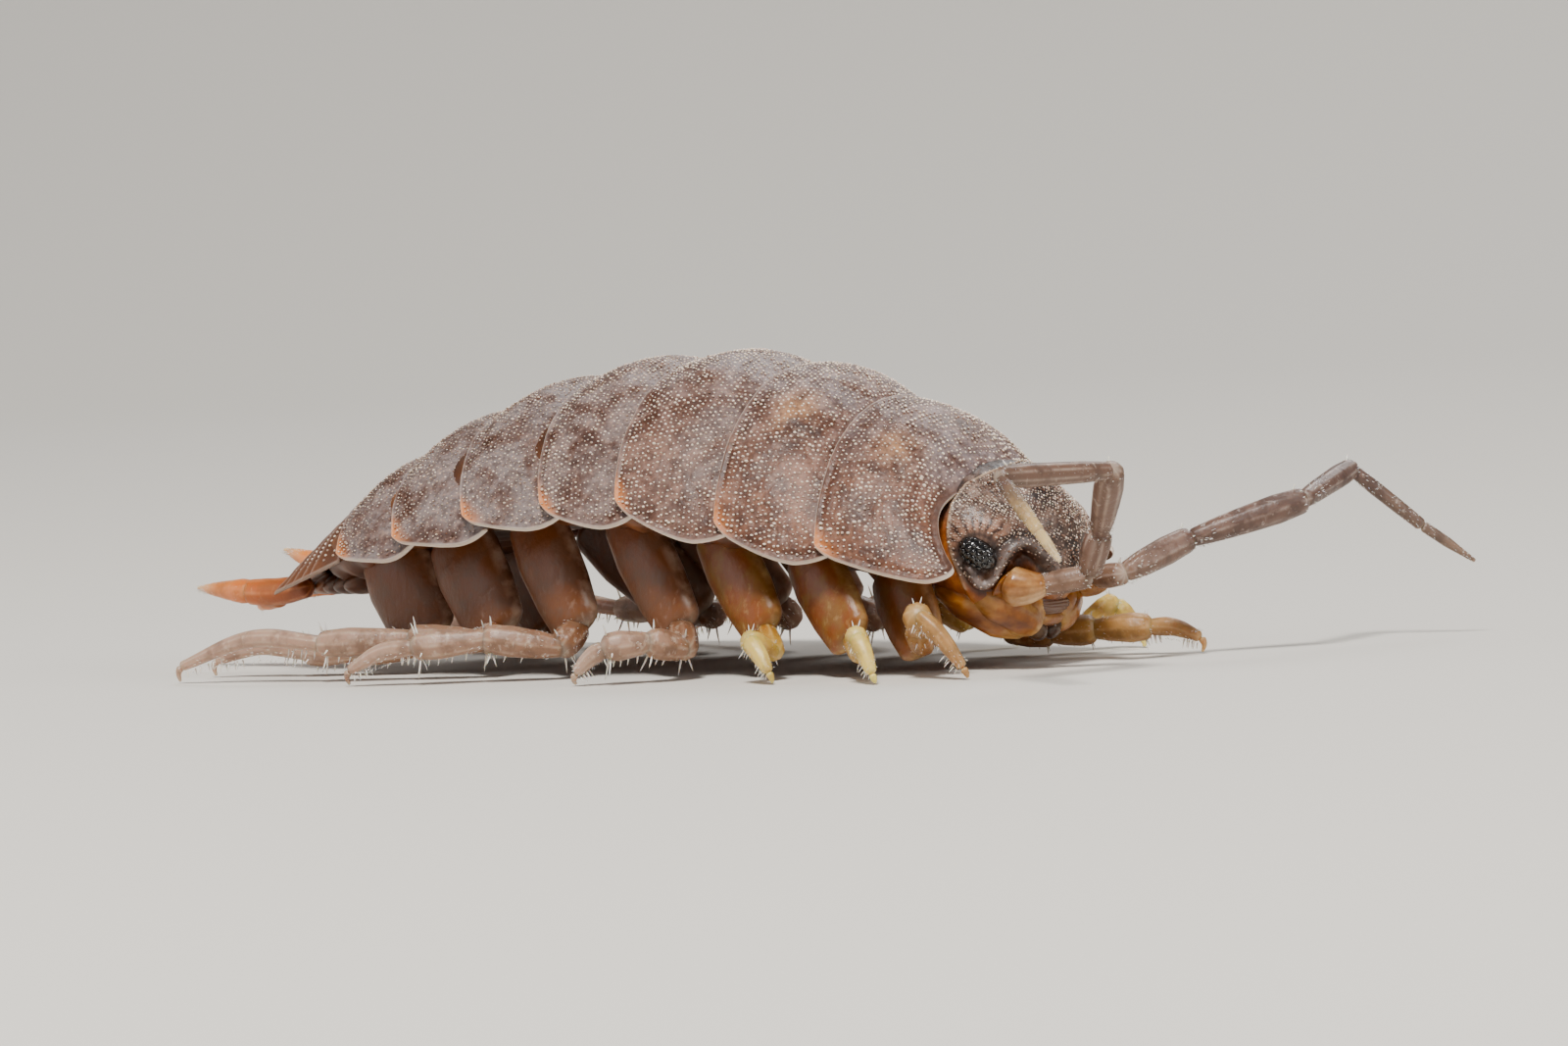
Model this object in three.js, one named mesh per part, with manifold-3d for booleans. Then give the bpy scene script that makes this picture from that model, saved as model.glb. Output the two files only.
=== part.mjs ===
// A woodlouse at life size, crawling: head towards +X, its left side towards +Y, feet on z = 0.
// Millimetres, +Z up. The group is moved at the end so that the origin is under the middle of its box.
import * as THREE from "three";
import { mergeVertices } from "three/addons/utils/BufferGeometryUtils.js";
import Module from "manifold-3d";

const wasm = await Module();
wasm.setup();

const { lerp, smoothstep, degToRad } = THREE.MathUtils;

// Driving dimensions of the body: the crest of the back, the widest place and how both fall away.
const crest = { x: 1.2, height: 5.25, frontFall: 0.0652, frontPower: 2.06, rearFall: 0.0325, rearPower: 2.15 };
const waist = { halfWidth: 3.45, frontFall: 0.0287, frontPower: 1.85, rearFall: 0.01515, rearPower: 2.31 };
const archAngle = degToRad(72);
const segmentGap = 0.25;
const rimThickness = 0.42;
const marginStep = 0.16;
const endFaceSlant = 0.3;
const ventralDrop = 0.12;
const ventralEdge = 0.56;
const flankEdge = 0.8;
const lowestShare = 0.35;
const frontEdgeRise = 0.1;
const plateRows = 6;
const plateColumns = 22;

// One row for each of the seven trunk plates, from the head back: x of the rear margin on the
// midline and at the corner, height of the lowest point of the side, rise to the rear corner.
const trunkPlates = [
  { back: 4.28, corner: 4.6, low: 1.52, rise: 0.64 },
  { back: 2.56, corner: 2.85, low: 1.93, rise: 0.58 },
  { back: 0.6, corner: 1.04, low: 2.25, rise: 0.6 },
  { back: -1.15, corner: -0.43, low: 2.52, rise: 0.4 },
  { back: -2.91, corner: -2.05, low: 2.5, rise: 0.25 },
  { back: -4.37, corner: -3.7, low: 2.23, rise: 0.14 },
  { back: -5.6, corner: -5.15, low: 1.93, rise: 0.08 },
];
// The front margin of the first plate hollows round the head and comes forward at its corners.
const collar = { middle: 6.6, hollow: 0.4, cornerReach: 0.42, cornerRound: 0.1, cornerShare: 0.3 };
const rearCorner = { round: 0.13, start: 0.5 };

const pleon = {
  count: 5,
  segmentLength: 0.27,
  halfWidth: 2.1,
  narrowing: 0.13,
  step: 0.1,
  lowering: 0.08,
  sweep: 0.3,
  frontEdge: 1.7,
  rearEdge: 1.25,
  bellyDrop: 0.15,
  gillStep: 0.12,
};
const telson = { front: -7.1, tip: -8.2, halfWidth: 1.15, thickness: 0.4, height: 1.82, tipHeight: 1.45 };

const head = { x: 6.2, z: 2.02, length: 1.42, halfWidth: 1.72, halfHeight: 1.36 };
const headGap = 0.24;
const eye = { x: 6.7, y: 1.45, z: 1.96, length: 0.33, height: 0.25, bulge: 0.2 };
const eyeGap = 0.08;
const mouth = { x: 6.72, top: 1.02, tipX: 6.54, tip: 0.42, halfLength: 0.66, halfWidth: 0.72 };
const socket = { ball: 0.3, gap: 0.16 };

const limbSides = 7;
const colours = {
  shell: 0x85756f,
  head: 0x5d4e49,
  eye: 0x0c0b0d,
  mouth: 0x7a4a22,
  feeler: 0x7d6a5e,
  leg: 0xa98a68,
  tail: 0xc9803f,
};

const materials = {
  shell: new THREE.MeshStandardMaterial({ color: colours.shell, roughness: 0.55, metalness: 0 }),
  head: new THREE.MeshStandardMaterial({ color: colours.head, roughness: 0.5, metalness: 0 }),
  eye: new THREE.MeshStandardMaterial({ color: colours.eye, roughness: 0.15, metalness: 0 }),
  mouth: new THREE.MeshStandardMaterial({ color: colours.mouth, roughness: 0.4, metalness: 0 }),
  feeler: new THREE.MeshStandardMaterial({ color: colours.feeler, roughness: 0.5, metalness: 0 }),
  leg: new THREE.MeshStandardMaterial({ color: colours.leg, roughness: 0.4, metalness: 0 }),
  tail: new THREE.MeshStandardMaterial({ color: colours.tail, roughness: 0.4, metalness: 0 }),
};

// Height of the back's midline and half width of the trunk at x.
function falloff(x, from, shape) {
  const ahead = x > from;
  const fall = ahead ? shape.frontFall : shape.rearFall;
  const power = ahead ? shape.frontPower : shape.rearPower;
  return fall * Math.abs(x - from) ** power;
}

function backHeight(x) {
  return crest.height - falloff(x, crest.x, crest);
}

function trunkHalfWidth(x) {
  return waist.halfWidth - falloff(x, 0, waist);
}

// Joining and cutting of closed geometries.
function solid(geometry) {
  geometry.deleteAttribute("normal");
  geometry.deleteAttribute("uv");
  const welded = mergeVertices(geometry, 1e-5);
  const vertProperties = new Float32Array(welded.attributes.position.array);
  const triVerts = new Uint32Array(welded.index.array);
  return new wasm.Manifold(new wasm.Mesh({ numProp: 3, vertProperties, triVerts }));
}

function joined(solids) {
  return solids.reduce((whole, piece) => whole.add(piece));
}

function largest(whole) {
  return whole.decompose().reduce((a, b) => (b.volume() > a.volume() ? b : a));
}

function moved(geometry, x, y, z) {
  return geometry.clone().translate(x, y, z);
}

const floorSize = 60;
const belowFloor = solid(new THREE.BoxGeometry(floorSize, floorSize, floorSize).translate(0, 0, -floorSize / 2));

const group = new THREE.Group();

function addNode(name, whole, material) {
  const mesh = largest(whole).getMesh();
  const geometry = new THREE.BufferGeometry();
  geometry.setAttribute("position", new THREE.BufferAttribute(mesh.vertProperties, 3));
  geometry.setIndex(new THREE.BufferAttribute(mesh.triVerts, 1));
  geometry.computeVertexNormals();
  const node = new THREE.Mesh(geometry, material);
  node.name = name;
  group.add(node);
  return whole;
}

// A closed body between two sheets of points, outer(v, q) above inner(v, q):
// v runs back from 0 to 1 and q across from -1 on the right side to 1 on the left.
function slab(outer, inner, rows, columns) {
  const positions = [];
  const indices = [];
  const stride = columns + 1;
  const layer = (rows + 1) * stride;
  for (const sheet of [outer, inner]) {
    for (let row = 0; row <= rows; row += 1) {
      for (let column = 0; column <= columns; column += 1) {
        positions.push(...sheet(row / rows, (2 * column) / columns - 1));
      }
    }
  }
  const at = (side, row, column) => side * layer + row * stride + column;
  const quad = (a, b, c, d) => indices.push(a, b, c, a, c, d);
  for (let row = 0; row < rows; row += 1) {
    for (let column = 0; column < columns; column += 1) {
      quad(at(0, row, column), at(0, row, column + 1), at(0, row + 1, column + 1), at(0, row + 1, column));
      quad(at(1, row, column), at(1, row + 1, column), at(1, row + 1, column + 1), at(1, row, column + 1));
    }
    quad(at(0, row, 0), at(0, row + 1, 0), at(1, row + 1, 0), at(1, row, 0));
    quad(at(0, row + 1, columns), at(0, row, columns), at(1, row, columns), at(1, row + 1, columns));
  }
  for (let column = 0; column < columns; column += 1) {
    quad(at(0, 0, column + 1), at(0, 0, column), at(1, 0, column), at(1, 0, column + 1));
    quad(at(0, rows, column), at(0, rows, column + 1), at(1, rows, column + 1), at(1, rows, column));
  }
  const geometry = new THREE.BufferGeometry();
  geometry.setAttribute("position", new THREE.Float32BufferAttribute(positions, 3));
  geometry.setIndex(indices);
  return solid(geometry);
}

// A vaulted cross section: q = 0 on the midline and 1 at the lower edge of the side.
function vault(q, halfWidth, edge, top) {
  const angle = q * archAngle;
  const share = (Math.cos(angle) - Math.cos(archAngle)) / (1 - Math.cos(archAngle));
  return [(halfWidth * Math.sin(angle)) / Math.sin(archAngle), lerp(edge, top, share)];
}

// Rows lie closer together towards the rear margin, where the corner is rounded.
function spread(v) {
  return Math.sin((v * Math.PI) / 2);
}

function cornerShrink(v, start, round) {
  const past = Math.max(0, (v - start) / (1 - start));
  return round * (1 - Math.sqrt(Math.max(0, 1 - past * past)));
}

function trunkPlate(index) {
  const plate = trunkPlates[index];
  const first = index === 0;
  const ahead = trunkPlates[index - 1];
  const rearX = (row, q) => lerp(row.back, row.corner, q * q);
  const frontX = (q) => {
    if (!first) return rearX(ahead, q) - segmentGap;
    const side = Math.abs(q);
    const reach = collar.cornerReach * Math.max(0, 2 * side - 1) ** 2;
    return collar.middle - collar.hollow * Math.sin(Math.PI * side) ** 1.5 + reach;
  };
  const place = (row, q) => {
    const v = spread(row);
    let width = 1 - cornerShrink(v, rearCorner.start, rearCorner.round);
    if (first) width -= cornerShrink(1 - v, 1 - collar.cornerShare, collar.cornerRound);
    const across = q * width;
    const x = lerp(frontX(across), rearX(plate, across), v);
    const behind = Math.max(0, (v - lowestShare) / (1 - lowestShare));
    const before = Math.max(0, (lowestShare - v) / lowestShare);
    const edge = plate.low + plate.rise * behind ** 2 + frontEdgeRise * before ** 2;
    const top = backHeight(x) - marginStep * (1 - v) * (first ? 0 : 1);
    return { across, x, edge, top };
  };
  const outer = (row, q) => {
    const { across, x, edge, top } = place(row, q);
    return [x, ...vault(across, trunkHalfWidth(x), edge, top)];
  };
  const inner = (row, q) => {
    const { across, x, edge, top } = place(row, q);
    const [y, z] = vault(across, trunkHalfWidth(x) - rimThickness, edge, top - rimThickness);
    const belly = 1 - smoothstep(Math.abs(across), ventralEdge, flankEdge);
    const slant = first ? endFaceSlant * row : endFaceSlant;
    return [x + slant, y, lerp(z, plate.low - ventralDrop, belly)];
  };
  return slab(outer, inner, plateRows, plateColumns);
}

const trunk = trunkPlates.map((plate, index) => addNode(`pereonite_${index + 1}`, trunkPlate(index), materials.shell));

// The tail: five narrow plates in steps behind the last trunk plate. Two rows of points make each
// plate, and the next one starts lower and narrower where it ends.
const pleonRows = 2 * pleon.count - 1;
function pleonRow(v, q) {
  const row = Math.round(v * pleonRows);
  const plate = Math.floor(row / 2);
  const rear = row % 2;
  const along = (plate + rear) / pleon.count;
  const front = trunkPlates[6].back - segmentGap;
  const x = front - (plate + rear) * pleon.segmentLength - pleon.sweep * along * q ** 4;
  const step = rear ? 0 : pleon.step;
  return {
    x,
    halfWidth: pleon.halfWidth - plate * pleon.narrowing - step,
    edge: lerp(pleon.frontEdge, pleon.rearEdge, along),
    top: backHeight(front - (plate + rear) * pleon.segmentLength) - pleon.lowering - step,
  };
}
function pleonOuter(v, q) {
  const { x, halfWidth, edge, top } = pleonRow(v, q);
  return [x, ...vault(q, halfWidth, edge, top)];
}
function pleonInner(v, q) {
  const { x, halfWidth, edge, top } = pleonRow(v, q);
  const [y, z] = vault(q, halfWidth - rimThickness, edge, top - rimThickness);
  const belly = 1 - smoothstep(Math.abs(q), ventralEdge, flankEdge);
  const gillStep = Math.round(v * pleonRows) % 2 ? pleon.gillStep : 0;
  return [x, y, lerp(z, edge - pleon.bellyDrop - gillStep, belly)];
}
const pleonBody = addNode("pleon", slab(pleonOuter, pleonInner, pleonRows, 16), materials.shell);

// The tail plate: a flat triangle with hollow sides and a narrow tip.
function telsonSheet(side) {
  return (v, q) => {
    const x = lerp(telson.front, telson.tip, v);
    const halfWidth = lerp(telson.halfWidth, 0.12, Math.sin((v * Math.PI) / 2));
    const z = lerp(telson.height, telson.tipHeight, v) + 0.22 * (1 - q * q) * (1 - v);
    return [x, q * halfWidth, z - side * lerp(telson.thickness, 0.3, v)];
  };
}
const telsonBody = slab(telsonSheet(0), telsonSheet(1), 5, 6);
const telsonCuts = [pleonBody, pleonBody.translate([-segmentGap, 0, 0])];
const trimmedTelson = telsonCuts.reduce((whole, cut) => whole.subtract(cut), telsonBody);
addNode("telson", trimmedTelson, materials.shell);

// One article of a limb: a turned form between two points, with rounded ends.
function article(from, to, startRadius, endRadius) {
  const start = new THREE.Vector3(...from);
  const axis = new THREE.Vector3(...to).sub(start);
  const length = axis.length();
  const profile = [
    [0, -0.7 * startRadius],
    [0.75 * startRadius, -0.4 * startRadius],
    [startRadius, 0.15 * length],
    [endRadius, 0.85 * length],
    [0.75 * endRadius, length + 0.4 * endRadius],
    [0, length + 0.7 * endRadius],
  ];
  const lathe = new THREE.LatheGeometry(profile.map(([r, y]) => new THREE.Vector2(r, y)), limbSides);
  const turn = new THREE.Quaternion().setFromUnitVectors(new THREE.Vector3(0, 1, 0), axis.normalize());
  return solid(lathe.applyQuaternion(turn).translate(start.x, start.y, start.z));
}

function limb(points, radii) {
  const articles = points.slice(1).map((to, index) => article(points[index], to, ...radii[index]));
  return joined(articles);
}

// Legs: the joints from the hip to the tip of the claw, on the right side.
const legRadii = {
  basis: [0.34, 0.36],
  knee: [0.3, 0.28],
  merus: [0.27, 0.28],
  carpus: [0.26, 0.27],
  foot: [0.26, 0.12],
};
const tipDepth = 0.1;
const rightLegs = [
  [[5.16, -1.55, 1.12], [5.9, -1.9, 0.46], [6.15, -2.35, 0.75], [6.4, -2.78, 1.06], [7.22, -2.68, 0]],
  [[3.75, -1.95, 1.55], [4.92, -2.5, 0.66], [5.4, -2.9, 0.42], [5.7, -3.5, 0.78], [6.14, -3.7, 0]],
  [[2.05, -2.05, 1.85], [3.32, -2.6, 0.82], [3.76, -3.0, 0.45], [3.68, -3.6, 0.71], [4.23, -3.8, 0]],
  [[0.3, -2.1, 2.1], [1.67, -2.6, 0.82], [2.04, -3.05, 0.51], [1.76, -3.6, 0.66], [1.25, -4.1, 0.62], [0.73, -4.3, 0]],
  [[-1.6, -2.1, 2.08], [-0.38, -2.6, 0.82], [-0.4, -3.05, 0.53], [-1.42, -3.7, 0.72], [-2.43, -4.3, 0.63], [-3.63, -4.6, 0]],
  [[-3.3, -1.95, 1.8], [-2.1, -2.4, 0.72], [-2.1, -2.85, 0.6], [-3.24, -3.3, 0.68], [-4.74, -3.8, 0.64], [-7.47, -4.2, 0]],
  [[-4.85, -1.7, 1.5], [-3.95, -1.9, 0.6], [-4.1, -2.15, 0.45], [-5.0, -2.4, 0.42], [-5.95, -2.65, 0.4], [-7.69, -2.95, 0]],
];
// The left side stands as the right one does, each leg a little ahead or behind; the first reaches out.
const leftShift = [0, 0.35, -0.3, -0.35, 0.3, 0.6, -0.25];
const leftFirstLeg = [[5.15, 1.55, 1.12], [5.2, 1.6, 0.45], [5.9, 1.8, 0.4], [6.6, 2.0, 0.44], [7.47, 2.3, 0.46], [8.32, 2.6, 0]];

// The hip lies in the underside of its plate, and the leg is cut off flat a gap below it.
function legSolid(joints, index) {
  const names = joints.length > 5 ? ["basis", "knee", "merus", "carpus", "foot"] : ["basis", "merus", "carpus", "foot"];
  const path = joints.map((joint) => [...joint]);
  path[0][2] = trunkPlates[index].low - ventralDrop;
  path[path.length - 1][2] = -tipDepth;
  const whole = limb(path, names.map((name) => legRadii[name]));
  return whole.subtract(belowFloor).subtract(trunk[index].translate([0, 0, -segmentGap]));
}

rightLegs.forEach((joints, index) => {
  addNode(`leg_right_${index + 1}`, legSolid(joints, index), materials.leg);
  const shifted = joints.map(([x, y, z], joint) => [x + (joint ? leftShift[index] : 0), -y, z]);
  addNode(`leg_left_${index + 1}`, legSolid(index ? shifted : leftFirstLeg, index), materials.leg);
});

// Feelers: five articles of the stalk and two of the lash, from the socket out.
const feelerRadii = [[0.26, 0.25], [0.26, 0.26], [0.27, 0.29], [0.26, 0.26], [0.25, 0.22], [0.22, 0.08]];
const feelers = {
  right: [[7.4, -0.92, 1.32], [8.18, -0.53, 1.48], [8.56, -0.71, 2.16], [9.48, -1.71, 3.23], [8.82, -3.89, 3.27],
    [9.8, -4.36, 2.46], [10.34, -4.61, 2.01]],
  left: [[7.4, 0.92, 1.34], [8.09, 0.62, 1.44], [8.53, 1.93, 1.9], [9.84, 3.38, 2.43], [9.53, 5.39, 2.81],
    [10.37, 6.15, 1.84], [10.98, 6.79, 1.2]],
};
for (const [side, joints] of Object.entries(feelers)) {
  addNode(`antenna_${side}`, limb(joints, feelerRadii), materials.feeler);
}

// The mouth cone under the head: maxillipeds and mandibles in one blunt form.
function mouthCone() {
  const ball = new THREE.SphereGeometry(1, 14, 10);
  const position = ball.attributes.position;
  for (let index = 0; index < position.count; index += 1) {
    const x = position.getX(index);
    const y = position.getY(index);
    const z = position.getZ(index);
    const height = (z + 1) / 2;
    const width = lerp(0.45, 1, Math.sqrt(height));
    position.setXYZ(
      index,
      lerp(mouth.tipX, mouth.x, height) + x * mouth.halfLength * width,
      y * mouth.halfWidth * width,
      lerp(mouth.tip, mouth.top, height),
    );
  }
  return solid(ball);
}
const mouthSolid = mouthCone();
addNode("mouthparts", mouthSolid, materials.mouth);

// The head: an egg lying across, with brow ridge, cheeks and the shield over the mouth raised on it.
const headSwellings = [
  { at: [0.75, 0, 0.25], size: 0.05, reach: 0.35 },
  { at: [0.86, 0, -0.42], size: 0.1, reach: 0.3 },
  { at: [0.62, -0.7, -0.3], size: 0.06, reach: 0.3 },
  { at: [0.62, 0.7, -0.3], size: 0.06, reach: 0.3 },
];
function headBall() {
  const ball = new THREE.SphereGeometry(1, 26, 18);
  const position = ball.attributes.position;
  const way = new THREE.Vector3();
  for (let index = 0; index < position.count; index += 1) {
    way.fromBufferAttribute(position, index);
    const swell = headSwellings.reduce((sum, swelling) => {
      const distance = way.distanceTo(new THREE.Vector3(...swelling.at).normalize());
      return sum + swelling.size * Math.exp(-((distance / swelling.reach) ** 2));
    }, 1);
    position.setXYZ(
      index,
      head.x + way.x * head.length * swell,
      way.y * head.halfWidth * swell,
      head.z + way.z * head.halfHeight * swell,
    );
  }
  return solid(ball);
}

function eyeBall(side, grow) {
  const ball = new THREE.SphereGeometry(1, 14, 10);
  ball.scale(eye.length + grow, eye.bulge + grow, eye.height + grow);
  ball.rotateZ(side * degToRad(-32));
  return solid(moved(ball, eye.x, side * eye.y, eye.z));
}

function socketBall(side) {
  const ball = new THREE.SphereGeometry(socket.ball + socket.gap, 12, 8);
  const [x, y, z] = feelers[side < 0 ? "right" : "left"][0];
  return solid(moved(ball, x, y, z));
}

const sides = { right: -1, left: 1 };
const headShifts = [[1, 0, 0], [0.7, 0, -0.7], [0.7, 0, 0.7], [0, 0.8, 0], [0, -0.8, 0]];
const mouthShifts = [[0, 0, 1], [0.7, 0, 0.7], [-0.7, 0, 0.7], [0, 0.7, 0.7], [0, -0.7, 0.7], [1, 0, 0], [-1, 0, 0]];
const shiftedBy = (whole, shifts) => shifts.map((shift) => whole.translate(shift.map((part) => part * headGap)));
const headCuts = [...shiftedBy(trunk[0], headShifts), ...shiftedBy(mouthSolid, mouthShifts)];
for (const side of Object.values(sides)) {
  headCuts.push(eyeBall(side, eyeGap), socketBall(side));
}
addNode("cephalon", headCuts.reduce((whole, cut) => whole.subtract(cut), headBall()), materials.head);
for (const [name, side] of Object.entries(sides)) {
  addNode(`eye_${name}`, eyeBall(side, 0), materials.eye);
}

// Uropods: a stout base, a long outer blade and a short inner one on each side of the tail plate.
const uropods = {
  right: [[-7.93, -1.1, 1.28], [-8.3, -1.1, 1.3], [-9.54, -0.98, 1.36]],
  left: [[-7.93, 1.1, 1.38], [-8.3, 1.15, 1.55], [-9.36, 1.2, 1.86]],
};
const uropodRadii = [[0.25, 0.28], [0.27, 0.08]];
const uropodCuts = [[-1, 0, 0], [-0.7, 0, -0.7], [0, 0, -1], [0, 1, 0], [0, -1, 0]].map((way) =>
  trimmedTelson.translate(way.map((part) => part * segmentGap)),
);
for (const [side, joints] of Object.entries(uropods)) {
  const inner = Math.sign(joints[0][1]) * 0.62;
  const blade = article(joints[0], [-8.35, inner, 0.98], 0.25, 0.14);
  const whole = limb(joints, uropodRadii).add(blade);
  addNode(`uropod_${side}`, uropodCuts.reduce((rest, cut) => rest.subtract(cut), whole), materials.tail);
}

// The origin goes under the middle of the whole box, level with the feet.
const box = new THREE.Box3().setFromObject(group, true);
const middle = box.getCenter(new THREE.Vector3());
group.position.set(-middle.x, -middle.y, -box.min.z);

export default group;
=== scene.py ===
import math

import bpy
import numpy as np
from mathutils import Matrix, Vector


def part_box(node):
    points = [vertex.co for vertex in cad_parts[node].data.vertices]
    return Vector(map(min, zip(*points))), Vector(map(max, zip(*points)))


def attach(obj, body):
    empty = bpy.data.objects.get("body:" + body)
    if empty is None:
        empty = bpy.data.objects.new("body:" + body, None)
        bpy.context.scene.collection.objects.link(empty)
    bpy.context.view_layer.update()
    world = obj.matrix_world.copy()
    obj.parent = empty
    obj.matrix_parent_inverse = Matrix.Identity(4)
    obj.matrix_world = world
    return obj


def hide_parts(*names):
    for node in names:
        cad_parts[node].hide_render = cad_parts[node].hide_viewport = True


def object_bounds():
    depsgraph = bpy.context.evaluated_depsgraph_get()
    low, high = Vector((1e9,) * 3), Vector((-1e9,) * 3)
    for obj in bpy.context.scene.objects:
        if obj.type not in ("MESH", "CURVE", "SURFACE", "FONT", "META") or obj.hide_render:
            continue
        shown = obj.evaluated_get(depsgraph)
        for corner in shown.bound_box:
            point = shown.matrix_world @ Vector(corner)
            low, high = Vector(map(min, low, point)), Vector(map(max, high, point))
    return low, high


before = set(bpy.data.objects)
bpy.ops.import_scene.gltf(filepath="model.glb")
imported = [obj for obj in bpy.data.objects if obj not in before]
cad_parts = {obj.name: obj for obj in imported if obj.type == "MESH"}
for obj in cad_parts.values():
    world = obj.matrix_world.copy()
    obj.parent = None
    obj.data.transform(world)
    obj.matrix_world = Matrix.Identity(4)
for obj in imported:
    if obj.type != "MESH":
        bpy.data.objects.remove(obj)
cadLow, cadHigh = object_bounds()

millimetre = 0.001
random = np.random.default_rng(11)

# The shared frame has its origin on the floor under the middle of the part's box. The numbers below
# are in the body's own frame, in millimetres, in which the middle of the right eye is at eyeMiddle;
# shift leads from there to the shared frame.
eyeMiddle = np.array([6.7, -1.45, 1.96])
eyeLow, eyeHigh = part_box("eye_right")
shift = np.array((eyeLow + eyeHigh) / 2) / millimetre - eyeMiddle

# The back is highest at the crest's x and the trunk widest at x = 0; both fall off from there.
crest = {
    "x": 1.2, "height": 5.25,
    "frontFall": 0.0652, "frontPower": 2.06, "rearFall": 0.0325, "rearPower": 2.15,
}
waist = {
    "halfWidth": 3.45,
    "frontFall": 0.0287, "frontPower": 1.85, "rearFall": 0.01515, "rearPower": 2.31,
}
archAngle = math.radians(72)

# Seven trunk plates from the head back: x of the rear margin on the midline and at the corner,
# height of the lowest point of the side, rise to the rear corner.
trunkPlates = [
    {"back": 4.28, "corner": 4.6, "low": 1.52, "rise": 0.52},
    {"back": 2.56, "corner": 2.85, "low": 1.86, "rise": 0.58},
    {"back": 0.6, "corner": 1.04, "low": 2.23, "rise": 0.6},
    {"back": -1.15, "corner": -0.43, "low": 2.48, "rise": 0.3},
    {"back": -2.91, "corner": -2.05, "low": 2.46, "rise": 0.13},
    {"back": -4.37, "corner": -3.7, "low": 2.2, "rise": 0.05},
    {"back": -5.6, "corner": -5.15, "low": 1.93, "rise": 0.04},
]
# The front edge of the first plate, hollowed round the back of the head.
collar = {
    "middle": 6.6, "hollow": 0.4, "cornerReach": 0.42,
    "cornerRound": 0.1, "cornerShare": 0.3, "tuck": 0.14,
}
rearCorner = {"round": 0.035, "start": 0.84}


# Length of the vectors in the last axis.
def size(vectors):
    return np.sqrt((vectors * vectors).sum(-1, keepdims=True))


# The vectors at length one.
def unit(vectors):
    return vectors / np.maximum(size(vectors), 1e-9)


# Straight between a and b: a + (b - a) share.
def mix(a, b, share):
    return a + (b - a) * share


# A soft step from 0 at low to 1 at high: t squared (3 - 2 t) of the share t of the way between.
def smooth(low, high, x):
    t = np.clip((x - low) / (high - low), 0, 1)
    return t * t * (3 - 2 * t)


# A bump of height 1 and the given width round zero: exp(-(x / width) squared).
def bell(x, width):
    return np.exp(-((x / width) ** 2))


# Cheap smooth noise over points: a sum of sines in seeded directions, between about -1 and 1.
class Waves:
    count = 14

    def __init__(self, length):
        way = unit(random.normal(size=(self.count, 3)))
        self.turns = way * (2 * math.pi / length) * random.uniform(0.6, 1.6, (self.count, 1))
        self.phase = random.uniform(0, 2 * math.pi, self.count)

    def at(self, points):
        return np.sin(points @ self.turns.T + self.phase).mean(-1) * 1.9


# An object of its own for some data, in the scene.
def addObject(name, data):
    thing = bpy.data.objects.new(name, data)
    bpy.context.scene.collection.objects.link(thing)
    return thing


# One piece in the making: points in millimetres, faces of three or four corners, values per point.
# A piece of many small copies also keeps each copy's root and the place of its points round it.
class Piece:
    def __init__(self):
        self.points = []
        self.quads = []
        self.triangles = []
        self.values = {}
        self.roots = []
        self.around = []
        self.count = 0

    def add(self, points, quads=(), triangles=(), **values):
        points = np.asarray(points, float).reshape(-1, 3)
        if len(quads):
            self.quads.append(np.asarray(quads) + self.count)
        if len(triangles):
            self.triangles.append(np.asarray(triangles) + self.count)
        for name in set(self.values) | set(values):
            column = np.broadcast_to(np.asarray(values.get(name, 0.0), float).ravel(), (len(points),))
            earlier = self.values.setdefault(name, [np.zeros(self.count)] if self.count else [])
            earlier.append(column)
        self.points.append(points)
        self.count += len(points)

    # Makes the mesh in the shared frame, on the body, and hides the nodes it stands for.
    def build(self, name, material, nodes, slot):
        quads = np.concatenate(self.quads) if self.quads else np.zeros((0, 4), int)
        triangles = np.concatenate(self.triangles) if self.triangles else np.zeros((0, 3), int)
        mesh = bpy.data.meshes.new(name)
        points = (np.concatenate(self.points) + shift) * millimetre
        mesh.vertices.add(len(points))
        mesh.vertices.foreach_set("co", points.ravel())
        corners = np.concatenate([quads.ravel(), triangles.ravel()])
        mesh.loops.add(len(corners))
        mesh.loops.foreach_set("vertex_index", corners.astype(np.int32))
        lengths = np.concatenate([np.full(len(quads), 4), np.full(len(triangles), 3)])
        mesh.polygons.add(len(lengths))
        mesh.polygons.foreach_set("loop_start", (np.cumsum(lengths) - lengths).astype(np.int32))
        mesh.update(calc_edges=True)
        mesh.validate()
        mesh.polygons.foreach_set("use_smooth", np.ones(len(mesh.polygons), bool))
        for key, columns in self.values.items():
            layer = mesh.attributes.new(key, "FLOAT", "POINT")
            layer.data.foreach_set("value", np.concatenate(columns).astype(np.float32))
        if sum(len(each) for each in self.roots) == self.count:
            self.unwrap(mesh)
        mesh.materials.append(material)
        thing = addObject(name, mesh)
        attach(thing, "root")
        if nodes:
            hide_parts(*nodes)
        print("built", name, len(quads) * 2 + len(triangles), "triangles")

    # Each copy is a patch of two reaches across where its root lies on the skin unwrapped round the
    # long axis: the turn round the axis and the way along it, both spread over the piece.
    def unwrap(self, mesh):
        axisHeight = 1.5
        reach = 0.0015
        roots = np.concatenate(self.roots)
        place = np.stack([np.arctan2(roots[:, 1], roots[:, 2] - axisHeight), roots[:, 0]], -1)
        low, high = place.min(0), place.max(0)
        place = 0.01 + 0.98 * (place - low) / np.maximum(high - low, 1e-6)
        place = place + reach * np.concatenate(self.around)
        corners = np.zeros(len(mesh.loops), np.int32)
        mesh.loops.foreach_get("vertex_index", corners)
        layer = mesh.uv_layers.new(name="OFBake")
        layer.data.foreach_set("uv", place[corners].astype(np.float32).ravel())


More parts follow.
